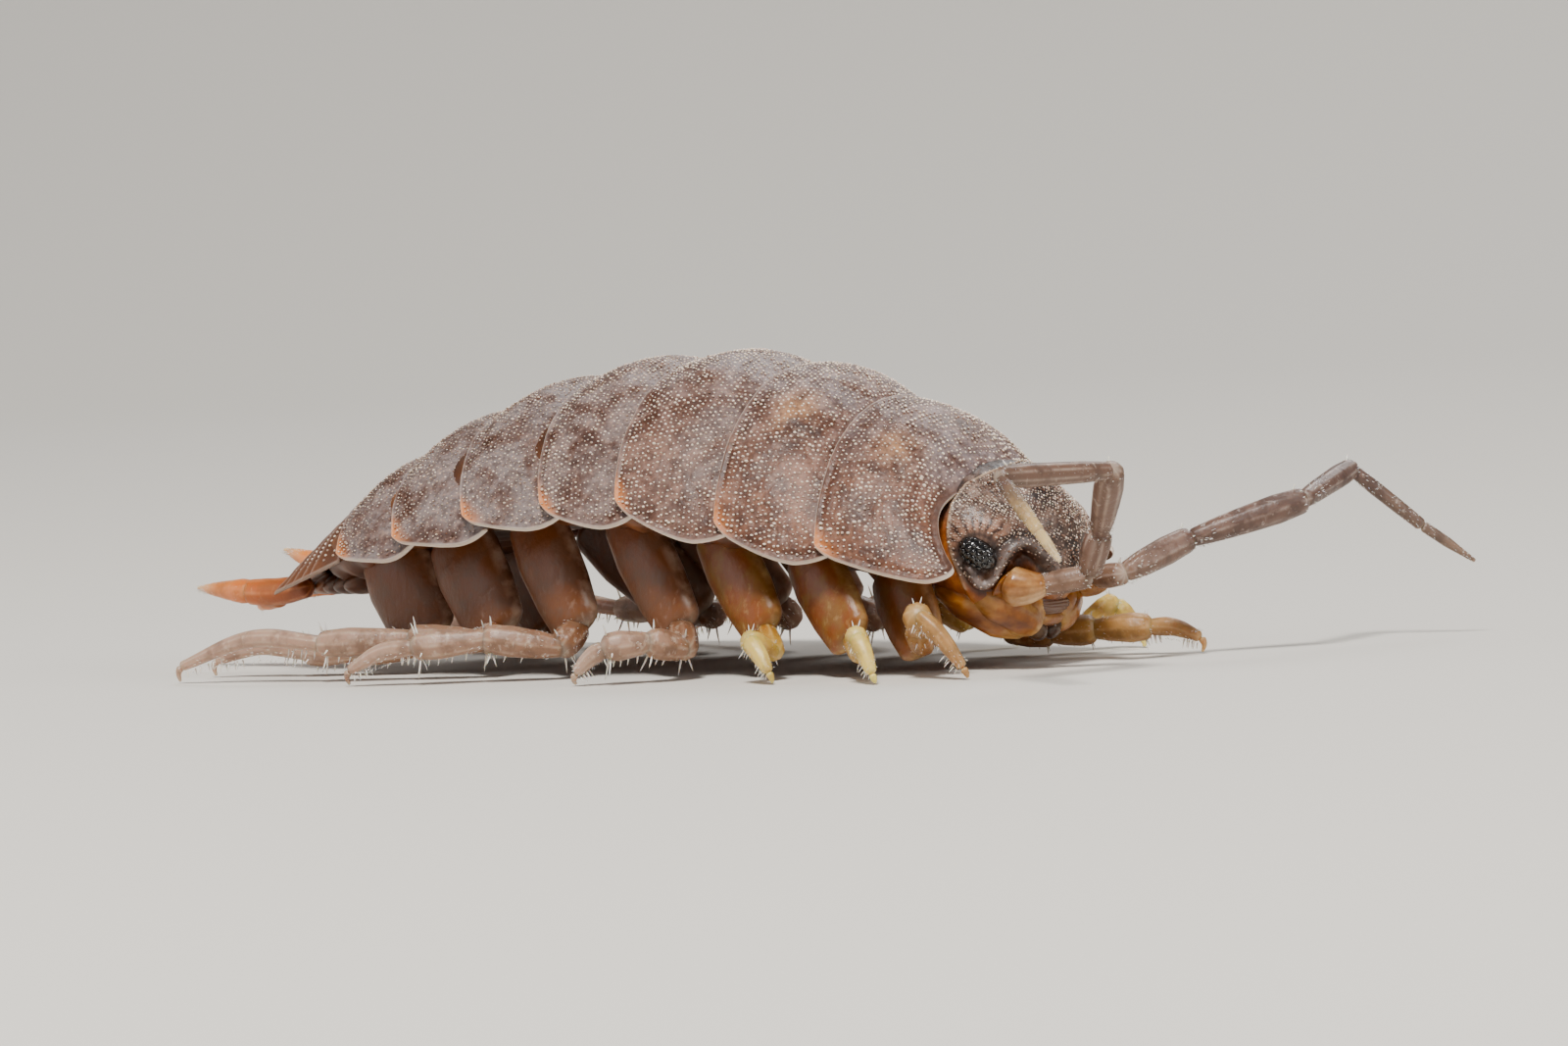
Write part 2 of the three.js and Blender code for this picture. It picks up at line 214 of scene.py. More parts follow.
# Quads of a grid of rows by columns, closed round the columns where wrapped is true.
def gridQuads(rows, columns, wrapped=False):
    row = np.arange(rows - 1)[:, None] * columns
    column = np.arange(columns if wrapped else columns - 1)[None, :]
    after = (column + 1) % columns
    corners = [row + column, row + after, row + columns + after, row + columns + column]
    return np.stack(np.broadcast_arrays(*corners), -1).reshape(-1, 4)


# Triangles from a pole to a ring of points that starts at first, in the ring's sense or turned.
def fan(pole, first, count, turned=False):
    around = np.arange(count)
    ring = [first + around, first + (around + 1) % count]
    return np.stack([np.full(count, pole), *(ring[::-1] if turned else ring)], -1)


# Six times the volume that the faces enclose, by summing the signed tetrahedra over the origin.
def enclosed(points, quads, triangles):
    parts = [np.asarray(triangles).reshape(-1, 3)]
    if len(quads):
        parts += [quads[:, [0, 1, 2]], quads[:, [0, 2, 3]]]
    corners = points[np.concatenate(parts).astype(int)]
    return np.einsum("ij,ij->i", corners[:, 0], np.cross(corners[:, 1], corners[:, 2])).sum()


# Adds a closed form with its faces turned outward.
def addClosed(piece, points, quads=(), triangles=(), **values):
    points = np.asarray(points, float).reshape(-1, 3)
    quads = np.asarray(quads, int).reshape(-1, 4)
    triangles = np.asarray(triangles, int).reshape(-1, 3)
    if enclosed(points - points.mean(0), quads, triangles) < 0:
        quads, triangles = quads[:, ::-1], triangles[:, ::-1]
    piece.add(points, quads, triangles, **values)


# Closes a grid that wraps round its columns with one point at each end.
def addTube(piece, grid, firstPole, lastPole, **values):
    rows, columns = grid.shape[:2]
    pole = rows * columns
    caps = [fan(pole, 0, columns, True), fan(pole + 1, pole - columns, columns)]
    points = np.concatenate([grid.reshape(-1, 3), [firstPole], [lastPole]])
    spread = {}
    for key, value in values.items():
        value = np.broadcast_to(value, (rows, columns))
        spread[key] = np.concatenate([value.ravel(), [value[0].mean(), value[-1].mean()]])
    addClosed(piece, points, gridQuads(rows, columns, True), np.concatenate(caps), **spread)


# Places at the shares t of a smooth curve through the points (Catmull-Rom).
def curveAt(points, t):
    points = np.asarray(points, float)
    padded = np.concatenate([[2 * points[0] - points[1]], points, [2 * points[-1] - points[-2]]])
    place = np.asarray(t) * (len(points) - 1)
    start = np.clip(place.astype(int), 0, len(points) - 2)
    s = (place - start)[:, None]
    a, b, c, d = (padded[start + step] for step in range(4))
    return 0.5 * (2 * b + (c - a) * s + (2 * a - 5 * b + 4 * c - d) * s**2 + (3 * b - a - 3 * c + d) * s**3)


# Directions over a ball, rising row by row, without the two poles.
def ballWays(rows, columns):
    rise = np.linspace(-math.pi / 2, math.pi / 2, rows)[1:-1][:, None]
    turn = np.linspace(0, 2 * math.pi, columns, endpoint=False)[None, :]
    parts = [np.cos(rise) * np.cos(turn), np.cos(rise) * np.sin(turn), np.sin(rise)]
    return np.stack(np.broadcast_arrays(*parts), -1)


# Height of the back on the midline: less by fall times a power of the distance from the crest.
def backHeight(x):
    rear = crest["rearFall"] * np.abs(np.minimum(x - crest["x"], 0)) ** crest["rearPower"]
    front = crest["frontFall"] * np.maximum(x - crest["x"], 0) ** crest["frontPower"]
    return crest["height"] - rear - front


# Half width of the trunk, less in the same way by the distance from x = 0.
def trunkHalfWidth(x):
    rear = waist["rearFall"] * np.abs(np.minimum(x, 0)) ** waist["rearPower"]
    front = waist["frontFall"] * np.maximum(x, 0) ** waist["frontPower"]
    return waist["halfWidth"] - rear - front


# A vaulted cross section: q = 0 on the midline and 1 at the lower edge of the side.
def vault(q, halfWidth, edge, top):
    angle = q * archAngle
    share = (np.cos(angle) - math.cos(archAngle)) / (1 - math.cos(archAngle))
    return halfWidth * np.sin(angle) / math.sin(archAngle), mix(edge, top, share)


# What a rounded corner takes off the width: round (1 - sqrt(1 - past squared)) beyond start.
def cornerShrink(v, start, rounding):
    past = np.clip((v - start) / (1 - start), 0, 1)
    return rounding * (1 - np.sqrt(np.maximum(0, 1 - past * past)))


# A domed grain seen from its foot: two rings of sides points and a pole above and below.
def grainShape(sides):
    turn = np.arange(sides) * 2 * math.pi / sides
    ring = np.stack([np.cos(turn), np.sin(turn), 0 * turn], -1)
    rings = [ring + [0, 0, -0.15], ring * 0.72 + [0, 0, 0.7]]
    points = np.concatenate([*rings, [[0, 0, 1.0]], [[0, 0, -0.4]]])
    caps = np.concatenate([fan(2 * sides, sides, sides), fan(2 * sides + 1, 0, sides, True)])
    return points, gridQuads(2, sides, True), caps


# Copies of one closed shape, a block of points for each, with their values repeated over the block;
# around is the shape seen along its axis.
def addCopies(piece, points, quads, triangles, around, **values):
    count, each = points.shape[:2]
    piece.roots.append(np.repeat(points.mean(1), each, 0))
    piece.around.append(np.tile(around, (count, 1)))
    step = (np.arange(count) * each)[:, None, None]
    spread = {key: np.repeat(np.broadcast_to(value, (count,)), each) for key, value in values.items()}
    quads = (quads[None] + step).reshape(-1, 4)
    triangles = (triangles[None] + step).reshape(-1, 3)
    piece.add(points.reshape(-1, 3), quads, triangles, **spread)


# Grains at places, with their axis along normal and their length stretched along way.
def addGrains(piece, places, normals, ways, radius, height, stretch=1.0, sides=6, **values):
    shape, quads, triangles = grainShape(sides)
    ways = unit(ways - normals * (ways * normals).sum(-1, keepdims=True))
    sideways = np.cross(normals, ways)
    perCopy = (np.broadcast_to(each, (len(places),))[:, None, None] for each in (radius, height, stretch))
    radius, height, stretch = perCopy
    along = ways[:, None] * shape[None, :, :1] * radius * stretch
    across = sideways[:, None] * shape[None, :, 1:2] * radius
    points = places[:, None] + along + across + normals[:, None] * shape[None, :, 2:] * height
    addCopies(piece, points, quads, triangles, shape[:, :2], **values)


# The sideways limits of the whole, in the body's frame, a hair's breadth inside.
reachLow = cadLow[1] / millimetre - shift[1] + 0.01
reachHigh = cadHigh[1] / millimetre - shift[1] - 0.01


# Height that a spine's tip keeps over the floor; share along a spine and width of each ring.
floorClear = 0.03
spineRings = [(0.0, 1.0), (0.45, 0.8), (0.8, 0.45)]


# Spines: thin cones from places along ways, bent towards bend by the square of the share. Those
# that would reach the floor or past the sideways limits are left out.
def addSpines(piece, places, ways, lengths, radius, bend, sides=5):
    ways = unit(ways)
    lengths = lengths[:, None]
    tips = places + (ways + bend) * lengths
    clear = (tips[:, 2] > floorClear) & (tips[:, 1] > reachLow) & (tips[:, 1] < reachHigh)
    places, ways, lengths = places[clear], ways[clear], lengths[clear]
    other = np.where(np.abs(ways[:, 2:]) > 0.8, [[1.0, 0, 0]], [[0, 0, 1.0]])
    side = unit(np.cross(ways, other))
    third = np.cross(ways, side)
    turn = np.arange(sides) * 2 * math.pi / sides
    ring = side[:, None] * np.cos(turn)[None, :, None] + third[:, None] * np.sin(turn)[None, :, None]
    levels = []
    for share, width in spineRings:
        centre = places + ways * lengths * share + bend * lengths * share**2
        levels.append(centre[:, None] + ring * radius * width)
    tip = places + ways * lengths + bend * lengths
    foot = places - ways * lengths * 0.04
    points = np.concatenate([*levels, tip[:, None], foot[:, None]], 1)
    caps = np.concatenate([fan(3 * sides, 2 * sides, sides), fan(3 * sides + 1, 0, sides, True)])
    circle = np.stack([np.cos(turn), np.sin(turn)], -1)
    seen = np.concatenate([*(circle * width for share, width in spineRings), np.zeros((2, 2))])
    addCopies(piece, points, gridQuads(3, sides, True), caps, seen)


# One socket of a material, with arithmetic that adds Math nodes.
class Socket:
    def __init__(self, look, socket):
        self.look = look
        self.socket = socket

    def __add__(self, other):
        return self.look.maths("ADD", self, other)

    def __radd__(self, other):
        return self.look.maths("ADD", other, self)

    def __sub__(self, other):
        return self.look.maths("SUBTRACT", self, other)

    def __rsub__(self, other):
        return self.look.maths("SUBTRACT", other, self)

    def __mul__(self, other):
        return self.look.maths("MULTIPLY", self, other)

    def clamped(self):
        return self.look.maths("MINIMUM", self.look.maths("MAXIMUM", self, 0.0), 1.0)

    # 0 below low, 1 above high and straight between.
    def between(self, low, high):
        return ((self - low) * (1 / (high - low))).clamped()


# One material in the making: its nodes read the Object coordinates and the pieces' values.
class Look:
    def __init__(self, name):
        self.material = bpy.data.materials.new(name)
        self.material.use_nodes = True
        self.tree = self.material.node_tree
        self.shader = self.tree.nodes["Principled BSDF"]
        self.place = self.node("ShaderNodeTexCoord", output="Object")

    # Adds a node: settings first, then the values or links of its sockets.
    def node(self, kind, settings=None, inputs=None, output=0):
        made = self.tree.nodes.new(kind)
        for key, value in (settings or {}).items():
            if key == "stops":
                while len(made.color_ramp.elements) < len(value):
                    made.color_ramp.elements.new(0.5)
                for stop, (position, colour) in zip(made.color_ramp.elements, value):
                    stop.position = position
                    stop.color = (*colour, 1)
            else:
                setattr(made, key, value)
        for key, value in (inputs or {}).items():
            self.put(made.inputs[key], value)
        return Socket(self, made.outputs[output])

    def put(self, socket, value):
        if isinstance(value, Socket):
            self.tree.links.new(value.socket, socket)
        elif socket.type == "RGBA":
            socket.default_value = (*value, 1)
        else:
            socket.default_value = value

    def maths(self, operation, a, b):
        return self.node("ShaderNodeMath", {"operation": operation}, {0: a, 1: b})

    def blend(self, a, b, share):
        return self.node("ShaderNodeMix", {"data_type": "RGBA"}, {0: share, 6: a, 7: b}, 2)

    def noise(self, scale, detail=3.0, roughness=0.55, stretch=None):
        place = self.place
        if stretch:
            place = self.node("ShaderNodeVectorMath", {"operation": "MULTIPLY"}, {0: place, 1: stretch})
        inputs = {"Vector": place, "Scale": scale, "Detail": detail, "Roughness": roughness}
        return self.node("ShaderNodeTexNoise", None, inputs, 0)

    def value(self, name):
        return self.node("ShaderNodeAttribute", {"attribute_name": name}, None, "Fac")

    def ramp(self, share, stops):
        return self.node("ShaderNodeValToRGB", {"stops": stops}, {"Fac": share}, "Color")

    def bump(self, height, strength, distance):
        inputs = {"Height": height, "Strength": strength, "Distance": distance}
        return self.node("ShaderNodeBump", None, inputs, "Normal")

    # Sets the shader's sockets, and how far light runs under the surface, in millimetres.
    def finish(self, depth=0.0, weight=0.0, **sockets):
        if weight:
            sockets["Subsurface_Weight"] = weight
            sockets["Subsurface_Radius"] = (1.0, 0.45, 0.2)
            sockets["Subsurface_Scale"] = depth * millimetre
        for key, value in sockets.items():
            self.put(self.shader.inputs[key.replace("_", " ")], value)
        return self.material


# A colour given by its sRGB parts from 0 to 255, as the linear parts a shader takes.
def colour(red, green, blue):
    parts = np.array([red, green, blue]) / 255
    linear = np.where(parts <= 0.04045, parts / 12.92, ((parts + 0.055) / 1.055) ** 2.4)
    return tuple(float(part) for part in linear)


# Shell: brown in patches, greyer on the back, with dark marks, amber rear corners, a pale rim, and painted
# shade where each plate comes out from under the one ahead.
def shellLook():
    look = Look("shell")
    names = ("across", "rim", "corner", "mark", "warm", "front")
    across, rim, corner, mark, warm, front = (look.value(key) for key in names)
    coarse = look.noise(650.0, 3.0)
    patch = look.noise(1900.0, 4.0, 0.6)
    speck = look.noise(9000.0, 3.0, 0.6)
    stops = [
        (0.34, colour(58, 32, 22)), (0.46, colour(94, 58, 42)),
        (0.56, colour(126, 84, 64)), (0.7, colour(162, 118, 94)),
    ]
    base = look.ramp(patch * 0.7 + coarse * 0.3, stops)
    base = look.blend(base, colour(68, 44, 36), coarse.between(0.5, 0.62) * 0.65)
    base = look.blend(base, colour(72, 50, 44), look.value("band") * patch.between(0.35, 0.55) * 0.8)
    bloom = (patch * 0.6 + coarse * 0.4).between(0.44, 0.58) * (1 - across).between(0.35, 0.8)
    base = look.blend(base, colour(146, 136, 138), bloom * 0.75)
    base = look.blend(base, colour(132, 122, 120), look.value("grey") * patch.between(0.36, 0.56))
    base = look.blend(base, colour(186, 134, 90), warm * patch.between(0.4, 0.55) * 0.9)
    base = look.blend(base, colour(72, 44, 34), mark * patch.between(0.36, 0.5) * 0.9)
    base = look.blend(base, colour(62, 42, 36), speck.between(0.5, 0.62) * 0.5)
    base = look.blend(base, colour(194, 158, 138), speck.between(0.44, 0.32) * 0.3)
    base = look.blend(base, colour(222, 134, 68), corner * 0.9)
    # Painted shade: dark brown where a plate comes out from under the plate ahead, partly its own brown; on
    # the first plate it is the brown band along its front edge.
    base = look.blend(base, colour(70, 42, 28), front * 0.8)
    base = look.blend(base, colour(84, 48, 26), look.value("dusk") * 0.85)
    base = look.blend(base, colour(244, 226, 210), rim * 0.95)
    base = look.blend(base, colour(84, 46, 20), look.value("inside"))
    height = speck * 0.6 + patch * 0.8
    normal = look.bump(height, 0.7, 0.00004)
    rough = 0.34 + patch * 0.24 - rim * 0.12
    return look.finish(0.3, 0.12, Base_Color=base, Roughness=rough, Normal=normal, Specular_IOR_Level=0.35)


def grainLook():
    look = Look("grain")
    # The tone runs from brown to near white: partly the grains' own pale colour, partly painted highlight for
    # their glints.
    base = look.blend(colour(116, 82, 66), colour(255, 232, 212), look.value("tone"))
    return look.finish(0.1, 0.15, Base_Color=base, Roughness=0.16)


# Belly skin: brown with fine folds, amber at the neck.
def skinLook():
    look = Look("skin")
    fold = look.noise(1500.0, 3.0, 0.5, (1.0, 0.4, 0.4))
    stops = [(0.3, colour(58, 30, 14)), (0.55, colour(98, 54, 24)), (0.75, colour(138, 84, 44))]
    base = look.blend(look.ramp(fold, stops), colour(190, 118, 52), look.value("neck"))
    return look.finish(0.5, 0.3, Base_Color=base, Roughness=0.4, Normal=look.bump(fold, 0.5, 0.00008))


def headLook():
    look = Look("head")
    amber, ridge, rim, streak = (look.value(key) for key in ("amber", "ridge", "rim", "streak"))
    fine = look.noise(7000.0, 4.0, 0.6)
    blotch = look.noise(1700.0, 4.0, 0.6)
    stops = [(0.38, colour(40, 28, 24)), (0.5, colour(86, 64, 54)), (0.62, colour(134, 108, 94))]
    base = look.ramp(blotch, stops)
    base = look.blend(base, colour(34, 24, 22), fine.between(0.46, 0.58) * 0.7)
    base = look.blend(base, colour(172, 124, 98), streak * blotch.between(0.35, 0.55) * 0.8)
    base = look.blend(base, colour(52, 28, 20), (streak * look.value("ray") * 1.2).clamped())
    stops = [(0.38, colour(98, 44, 2)), (0.5, colour(146, 74, 8)), (0.62, colour(184, 112, 34))]
    base = look.blend(base, look.ramp(blotch, stops), amber)
    # Painted shade: near black-brown deep in the hollow of the feeler's socket.
    base = look.blend(base, colour(48, 22, 6), look.value("deep") * 0.85)
    base = look.blend(base, colour(124, 110, 104), ridge * 0.75)
    base = look.blend(base, colour(206, 198, 194), ridge * fine.between(0.42, 0.3) * 0.8)
    # Painted shade: dark lines in the creases beside the ridge and in a ring round the eye.
    base = look.blend(base, colour(40, 26, 22), look.value("crease") * 0.8)
    base = look.blend(base, colour(206, 176, 144), rim * 0.8)
    normal = look.bump(fine * 0.7 + blotch * 0.6, 0.6, 0.00004)
    return look.finish(0.3, 0.15, Base_Color=base, Roughness=0.3 + fine * 0.2, Normal=normal)


def eyeLook():
    look = Look("eye")
    return look.finish(Base_Color=colour(14, 11, 11), Roughness=0.14, Coat_Weight=1.0, Coat_Roughness=0.03)


def mouthLook():
    look = Look("mouth")
    streak = look.noise(1600.0, 4.0, 0.6, (0.6, 1.0, 1.0))
    stops = [(0.36, colour(104, 52, 6)), (0.5, colour(150, 86, 20)), (0.64, colour(192, 136, 68))]
    base = look.ramp(streak, stops)
    base = look.blend(base, colour(90, 62, 50), look.value("mauve"))
    stops = [(0.4, colour(150, 98, 48)), (0.52, colour(194, 152, 102)), (0.62, colour(224, 198, 158))]
    base = look.blend(base, look.ramp(streak, stops), look.value("cream"))
    base = look.blend(base, colour(84, 42, 12), look.value("stripe") * 0.35)
    base = look.blend(base, colour(14, 8, 6), look.value("dark"))
    normal = look.bump(streak, 0.3, 0.00005)
    return look.finish(0.6, 0.3, Base_Color=base, Roughness=0.26, Normal=normal)


# Colours of a limb from root to tip, its pale joints and the stripes that run along it.
def limbLook(name, stops, joint, stripe, depth=0.5, weight=0.35):
    look = Look(name)
    along, pale, lines = look.value("along"), look.value("pale"), look.value("stripe")
    mottle = look.noise(2600.0, 4.0, 0.6)
    fine = look.noise(9000.0, 3.0, 0.6, (1.0, 1.0, 0.6))
    base = look.ramp(along, stops)
    dark = tuple(part * 0.4 for part in stops[len(stops) // 2][1])
    base = look.blend(base, dark, mottle.between(0.46, 0.62) * 0.5)
    base = look.blend(base, stripe, lines * mottle.between(0.6, 0.4) * 0.5)
    base = look.blend(base, stripe, fine.between(0.42, 0.28) * along.between(0.1, 0.35) * 0.6)
    base = look.blend(base, joint, pale * 0.45)
    normal = look.bump(fine * 0.7 + mottle * 0.5, 0.5, 0.00004)
    return look.finish(depth, weight, Base_Color=base, Roughness=0.32 + mottle * 0.2, Normal=normal)


def spineLook():
    look = Look("spine")
    return look.finish(0.1, 0.3, Base_Color=colour(240, 230, 218), Roughness=0.22)


amberRoot = (0.0, colour(104, 50, 6))
legStops = [
    amberRoot, (0.22, colour(116, 66, 24)), (0.45, colour(146, 108, 82)), (1.0, colour(180, 150, 130)),
]
firstStops = [
    amberRoot, (0.25, colour(132, 72, 8)), (0.6, colour(172, 126, 62)), (1.0, colour(162, 120, 74)),
]
yellowStops = [
    amberRoot, (0.25, colour(132, 68, 4)), (0.5, colour(190, 146, 54)), (1.0, colour(228, 202, 106)),
]
stalkStops = [(0.0, colour(136, 102, 78)), (0.3, colour(110, 80, 66))]
feelerStops = [*stalkStops, (0.66, colour(92, 68, 60)), (1.0, colour(130, 104, 84))]
lashStops = [
    *stalkStops, (0.7, colour(104, 76, 60)), (0.82, colour(188, 156, 100)), (1.0, colour(216, 190, 138)),
]
tailStops = [
    (0.0, colour(120, 56, 14)), (0.4, colour(206, 104, 28)),
    (0.75, colour(222, 134, 62)), (1.0, colour(226, 190, 150)),
]
paleJoint = colour(214, 196, 176)
looks = {
    "shell": shellLook(),
    "grain": grainLook(),
    "skin": skinLook(),
    "head": headLook(),
    "eye": eyeLook(),
    "mouth": mouthLook(),
    "lash_right": limbLook("feelerRight", lashStops, paleJoint, colour(190, 168, 150), 0.2, 0.2),
    "lash_left": limbLook("feelerLeft", feelerStops, paleJoint, colour(186, 168, 156), 0.2, 0.2),
    "leg": limbLook("leg", legStops, paleJoint, colour(200, 178, 158)),
    "firstLeg": limbLook("firstLeg", firstStops, colour(212, 184, 132), colour(196, 160, 112)),
    "yellowLeg": limbLook("yellowLeg", yellowStops, colour(228, 206, 140), colour(210, 180, 118)),
    "tail": limbLook("tail", tailStops, colour(200, 130, 80), colour(220, 150, 100)),
    "spine": spineLook(),
}
print("materials made")

# A trunk plate: thickness of the shell, how far its front lies under the plate ahead and how deep,
# the crown between the margins, the raised rim with its furrow, and the grid that carries it.
plateShape = {
    "thickness": 0.11,
    "edgeRound": 0.06,
    "tuck": 0.42,
    "sink": 0.25,
    "crown": 0.22,
    "lowered": 0.19,
    "rearDrop": 0.02,
    "lowestShare": 0.2,
    "frontEdgeRise": 0.05,
    "rimHeight": 0.025,
    "rimWidth": 0.022,
    "rimInset": 0.03,
    "furrow": 0.02,
    "furrowInset": 0.15,
    "furrowWidth": 0.05,
    "rows": 72,
    "columns": 190,
}


# The rear margin: x from the midline's to the corner's value by the square of q.
def rearX(plate, q):
    return mix(plate["back"], plate["corner"], q * q)


# Point of a trunk plate: x from the hidden front edge to the rear margin, the section a vault whose
# lower edge rises towards both corners; v is 0 where the plate comes out from under the one ahead.
def platePoint(index, u, q):
    plate = trunkPlates[index]
    first = index == 0
    width = 1 - cornerShrink(u, rearCorner["start"], rearCorner["round"])
    if first:
        width = width - cornerShrink(1 - u, 1 - collar["cornerShare"], collar["cornerRound"])
    across = q * width
    side = np.abs(across)
    rear = rearX(plate, across)
    if first:
        reach = collar["cornerReach"] * np.maximum(0, 2 * side - 1) ** 2
        front = collar["middle"] - collar["hollow"] * np.sin(math.pi * side) ** 1.5 + reach
        v = u
        x = mix(front, rear, u)
        sink = collar["tuck"] * (1 - smooth(0, 0.3, u)) * (1 - side**6)
    else:
        emerging = rearX(trunkPlates[index - 1], across)
        x = mix(emerging + plateShape["tuck"], rear, u)
        v = (emerging - x) / (emerging - rear)
        sink = plateShape["sink"] * np.clip(1 - v, 0, 1.6) ** 1.3 * (1 - 0.55 * smooth(0.6, 0.95, side))
    swell = np.clip(v, 0, 1)
    crown = plateShape["crown"] * np.sin(swell**0.85 * math.pi) - plateShape["rearDrop"] * swell**4
    top = backHeight(x) - plateShape["lowered"] - sink + crown
    lowest = plateShape["lowestShare"]
    behind = np.maximum(0, (v - lowest) / (1 - lowest))
    before = np.maximum(0, (lowest - v) / lowest)
    edge = plate["low"] + plate["rise"] * behind**1.35 + plateShape["frontEdgeRise"] * before**2
    halfWidth = trunkHalfWidth(x) - sink * 0.6 + crown * 0.4
    y, z = vault(across, halfWidth, edge, top)
    return np.stack(np.broadcast_arrays(x, y, z), -1), v, across


# Place and outward normal, from steps along the two parameters.
def plateNormal(index, u, q):
    step = 1e-3
    front, rear = (platePoint(index, np.clip(u + move, 0, 1), q)[0] for move in (-step, step))
    right, left = (platePoint(index, u, np.clip(q + move, -1, 1))[0] for move in (-step, step))
    return platePoint(index, u, q)[0], unit(np.cross(front - rear, left - right))


# Closed thin shell between an outer sheet and the same sheet moved in by thickness, which share
# their border: t = thickness sqrt(1 - (1 - d / round) squared) within round of the border.
def addShell(piece, outer, normals, border, thickness, rounding, **values):
    rows, columns = outer.shape[:2]
    near = np.clip(border / rounding, 0, 1)
    depth = thickness * np.sqrt(np.maximum(0, 1 - (1 - near) ** 2))
    outer = outer - normals * ((thickness - depth) * 0.45)[..., None]
    inner = outer - normals * depth[..., None]
    edge = np.zeros((rows, columns), bool)
    edge[[0, -1], :] = True
    edge[:, [0, -1]] = True
    below = np.arange(rows * columns).reshape(rows, columns)
    below[~edge] = rows * columns + np.arange((~edge).sum())
    quads = gridQuads(rows, columns)
    lower = below.ravel()[quads][:, ::-1]
    points = np.concatenate([outer.reshape(-1, 3), inner[~edge]])
    spread = {key: np.concatenate([value.ravel(), value[~edge]]) for key, value in values.items()}
    spread["inside"] = np.concatenate([np.zeros(rows * columns), np.ones((~edge).sum())])
    addClosed(piece, points, np.concatenate([quads, lower]), **spread)


# Distances of a grid's points from its front, its rear and the nearer of its two sides.
def sheetMargins(points):
    length = size(np.gradient(points, axis=0))[..., 0]
    girth = size(np.gradient(points, axis=1))[..., 0]
    front = np.cumsum(length, 0) - length
    rear = np.cumsum(length[::-1], 0)[::-1] - length
    right = np.cumsum(girth, 1) - girth
    left = np.cumsum(girth[:, ::-1], 1)[:, ::-1] - girth
    return front, rear, np.minimum(right, left)


# Marks where muscles fasten inside: place along and across the plate, half length and half width.
muscleMarks = [
    {"v": 0.4, "across": 0.5, "length": 0.09, "width": 0.09},
    {"v": 0.52, "across": 0.36, "length": 0.06, "width": 0.07},
    {"v": 0.72, "across": 0.24, "length": 0.12, "width": 0.07},
    {"v": 0.3, "across": 0.16, "length": 0.07, "width": 0.08},
    {"v": 0.85, "across": 0.45, "length": 0.14, "width": 0.05},
]
warmPatch = {"plates": (0, 1), "v": 0.5, "across": 0.42, "length": 0.1, "width": 0.16}


# A mark's share: the product of a bell along and a bell across the plate, whose places wander.
def markShare(mark, v, side, wander):
    along = bell(v - mark["v"] - wander * 0.04, mark["width"])
    return along * bell(side - mark["across"] - wander * 0.03, mark["length"])


# One trunk plate: its points moved along their normals by rim, furrow, relief and marks.
def addPlate(index):
    rows, columns = plateShape["rows"], plateShape["columns"]
    share = np.linspace(0, 1, rows) * math.pi
    u = (np.sin(share / 2) if index else (1 - np.cos(share)) / 2)[:, None]
    q = np.sin(np.linspace(-1, 1, columns) * math.pi / 2)[None, :]
    u, q = np.broadcast_arrays(u, q)
    points, v, across = platePoint(index, u, q)
    normals = plateNormal(index, np.clip(u, 2e-3, 1 - 2e-3), np.clip(q, -1 + 2e-3, 1 - 2e-3))[1]
    front, rear, sides = sheetMargins(points)
    margin = np.minimum(sides, rear if index else np.minimum(rear, front))
    rim = bell(margin - plateShape["rimInset"], plateShape["rimWidth"])
    furrow = bell(margin - plateShape["furrowInset"], plateShape["furrowWidth"])
    side = np.abs(across)
    wander = patchWaves.at(points)
    mark = sum(markShare(each, v, side, wander) for each in muscleMarks)
    mark = np.clip(mark * (0.7 + 0.8 * reliefWaves.at(points * 1.7)), 0, 1)
    warm = markShare(warmPatch, v, side, wander) if index in warmPatch["plates"] else 0 * v
    relief = reliefWaves.at(points) * 0.014 + finePlateWaves.at(points) * 0.005 - 0.02 * mark
    rise = rim * plateShape["rimHeight"] - furrow * plateShape["furrow"] + relief
    points = points + normals * rise[..., None]
    reach = np.sqrt(rear**2 * 0.8 + sides**2)
    # The front strip is painted shade where the plate comes out from under the one ahead, partly its own
    # brown; the first plate's strip is its brown front band.
    if index:
        frontBandAndShade = bell(v * (front + rear)[-1], 0.13) * (1 - smooth(0.72, 0.9, side))
    else:
        frontBandAndShade = 0.8 * bell(front - 0.06, 0.14)
    values = {
        "rim": bell(margin, 0.03),
        "band": bell(rear - 0.26, 0.2) * smooth(0.75, 0.45, side),
        "across": side,
        "corner": 1 - smooth(0.1, 0.6, reach + 0.12 * wander),
        "mark": mark,
        "warm": warm,
        "front": frontBandAndShade,
        "grey": 0.8 * smooth(1.0, 4.0, index) + 0 * v,
    }
    piece = Piece()
    border = np.minimum(margin, front)
    addShell(piece, points, normals, border, plateShape["thickness"], plateShape["edgeRound"], **values)
    piece.build(f"shellPlate{index + 1}", looks["shell"], [f"pereonite_{index + 1}"], "shell")
    addPlateGrains(index)


# Grains in staggered rows, spaced evenly along the arc and along the body, with a little scatter.
grainRows = {
    "spacing": 0.098, "rowShare": 0.87, "radius": 0.018, "height": 0.02, "scatter": 0.012,
    "clear": 0.09, "firstRow": 0.12, "missing": 0.07, "samples": 500,
}


# Length of the line through the points up to each of them.
def lengthAlong(points):
    return np.cumsum(size(np.diff(points, axis=0, prepend=points[:1]))[:, 0])


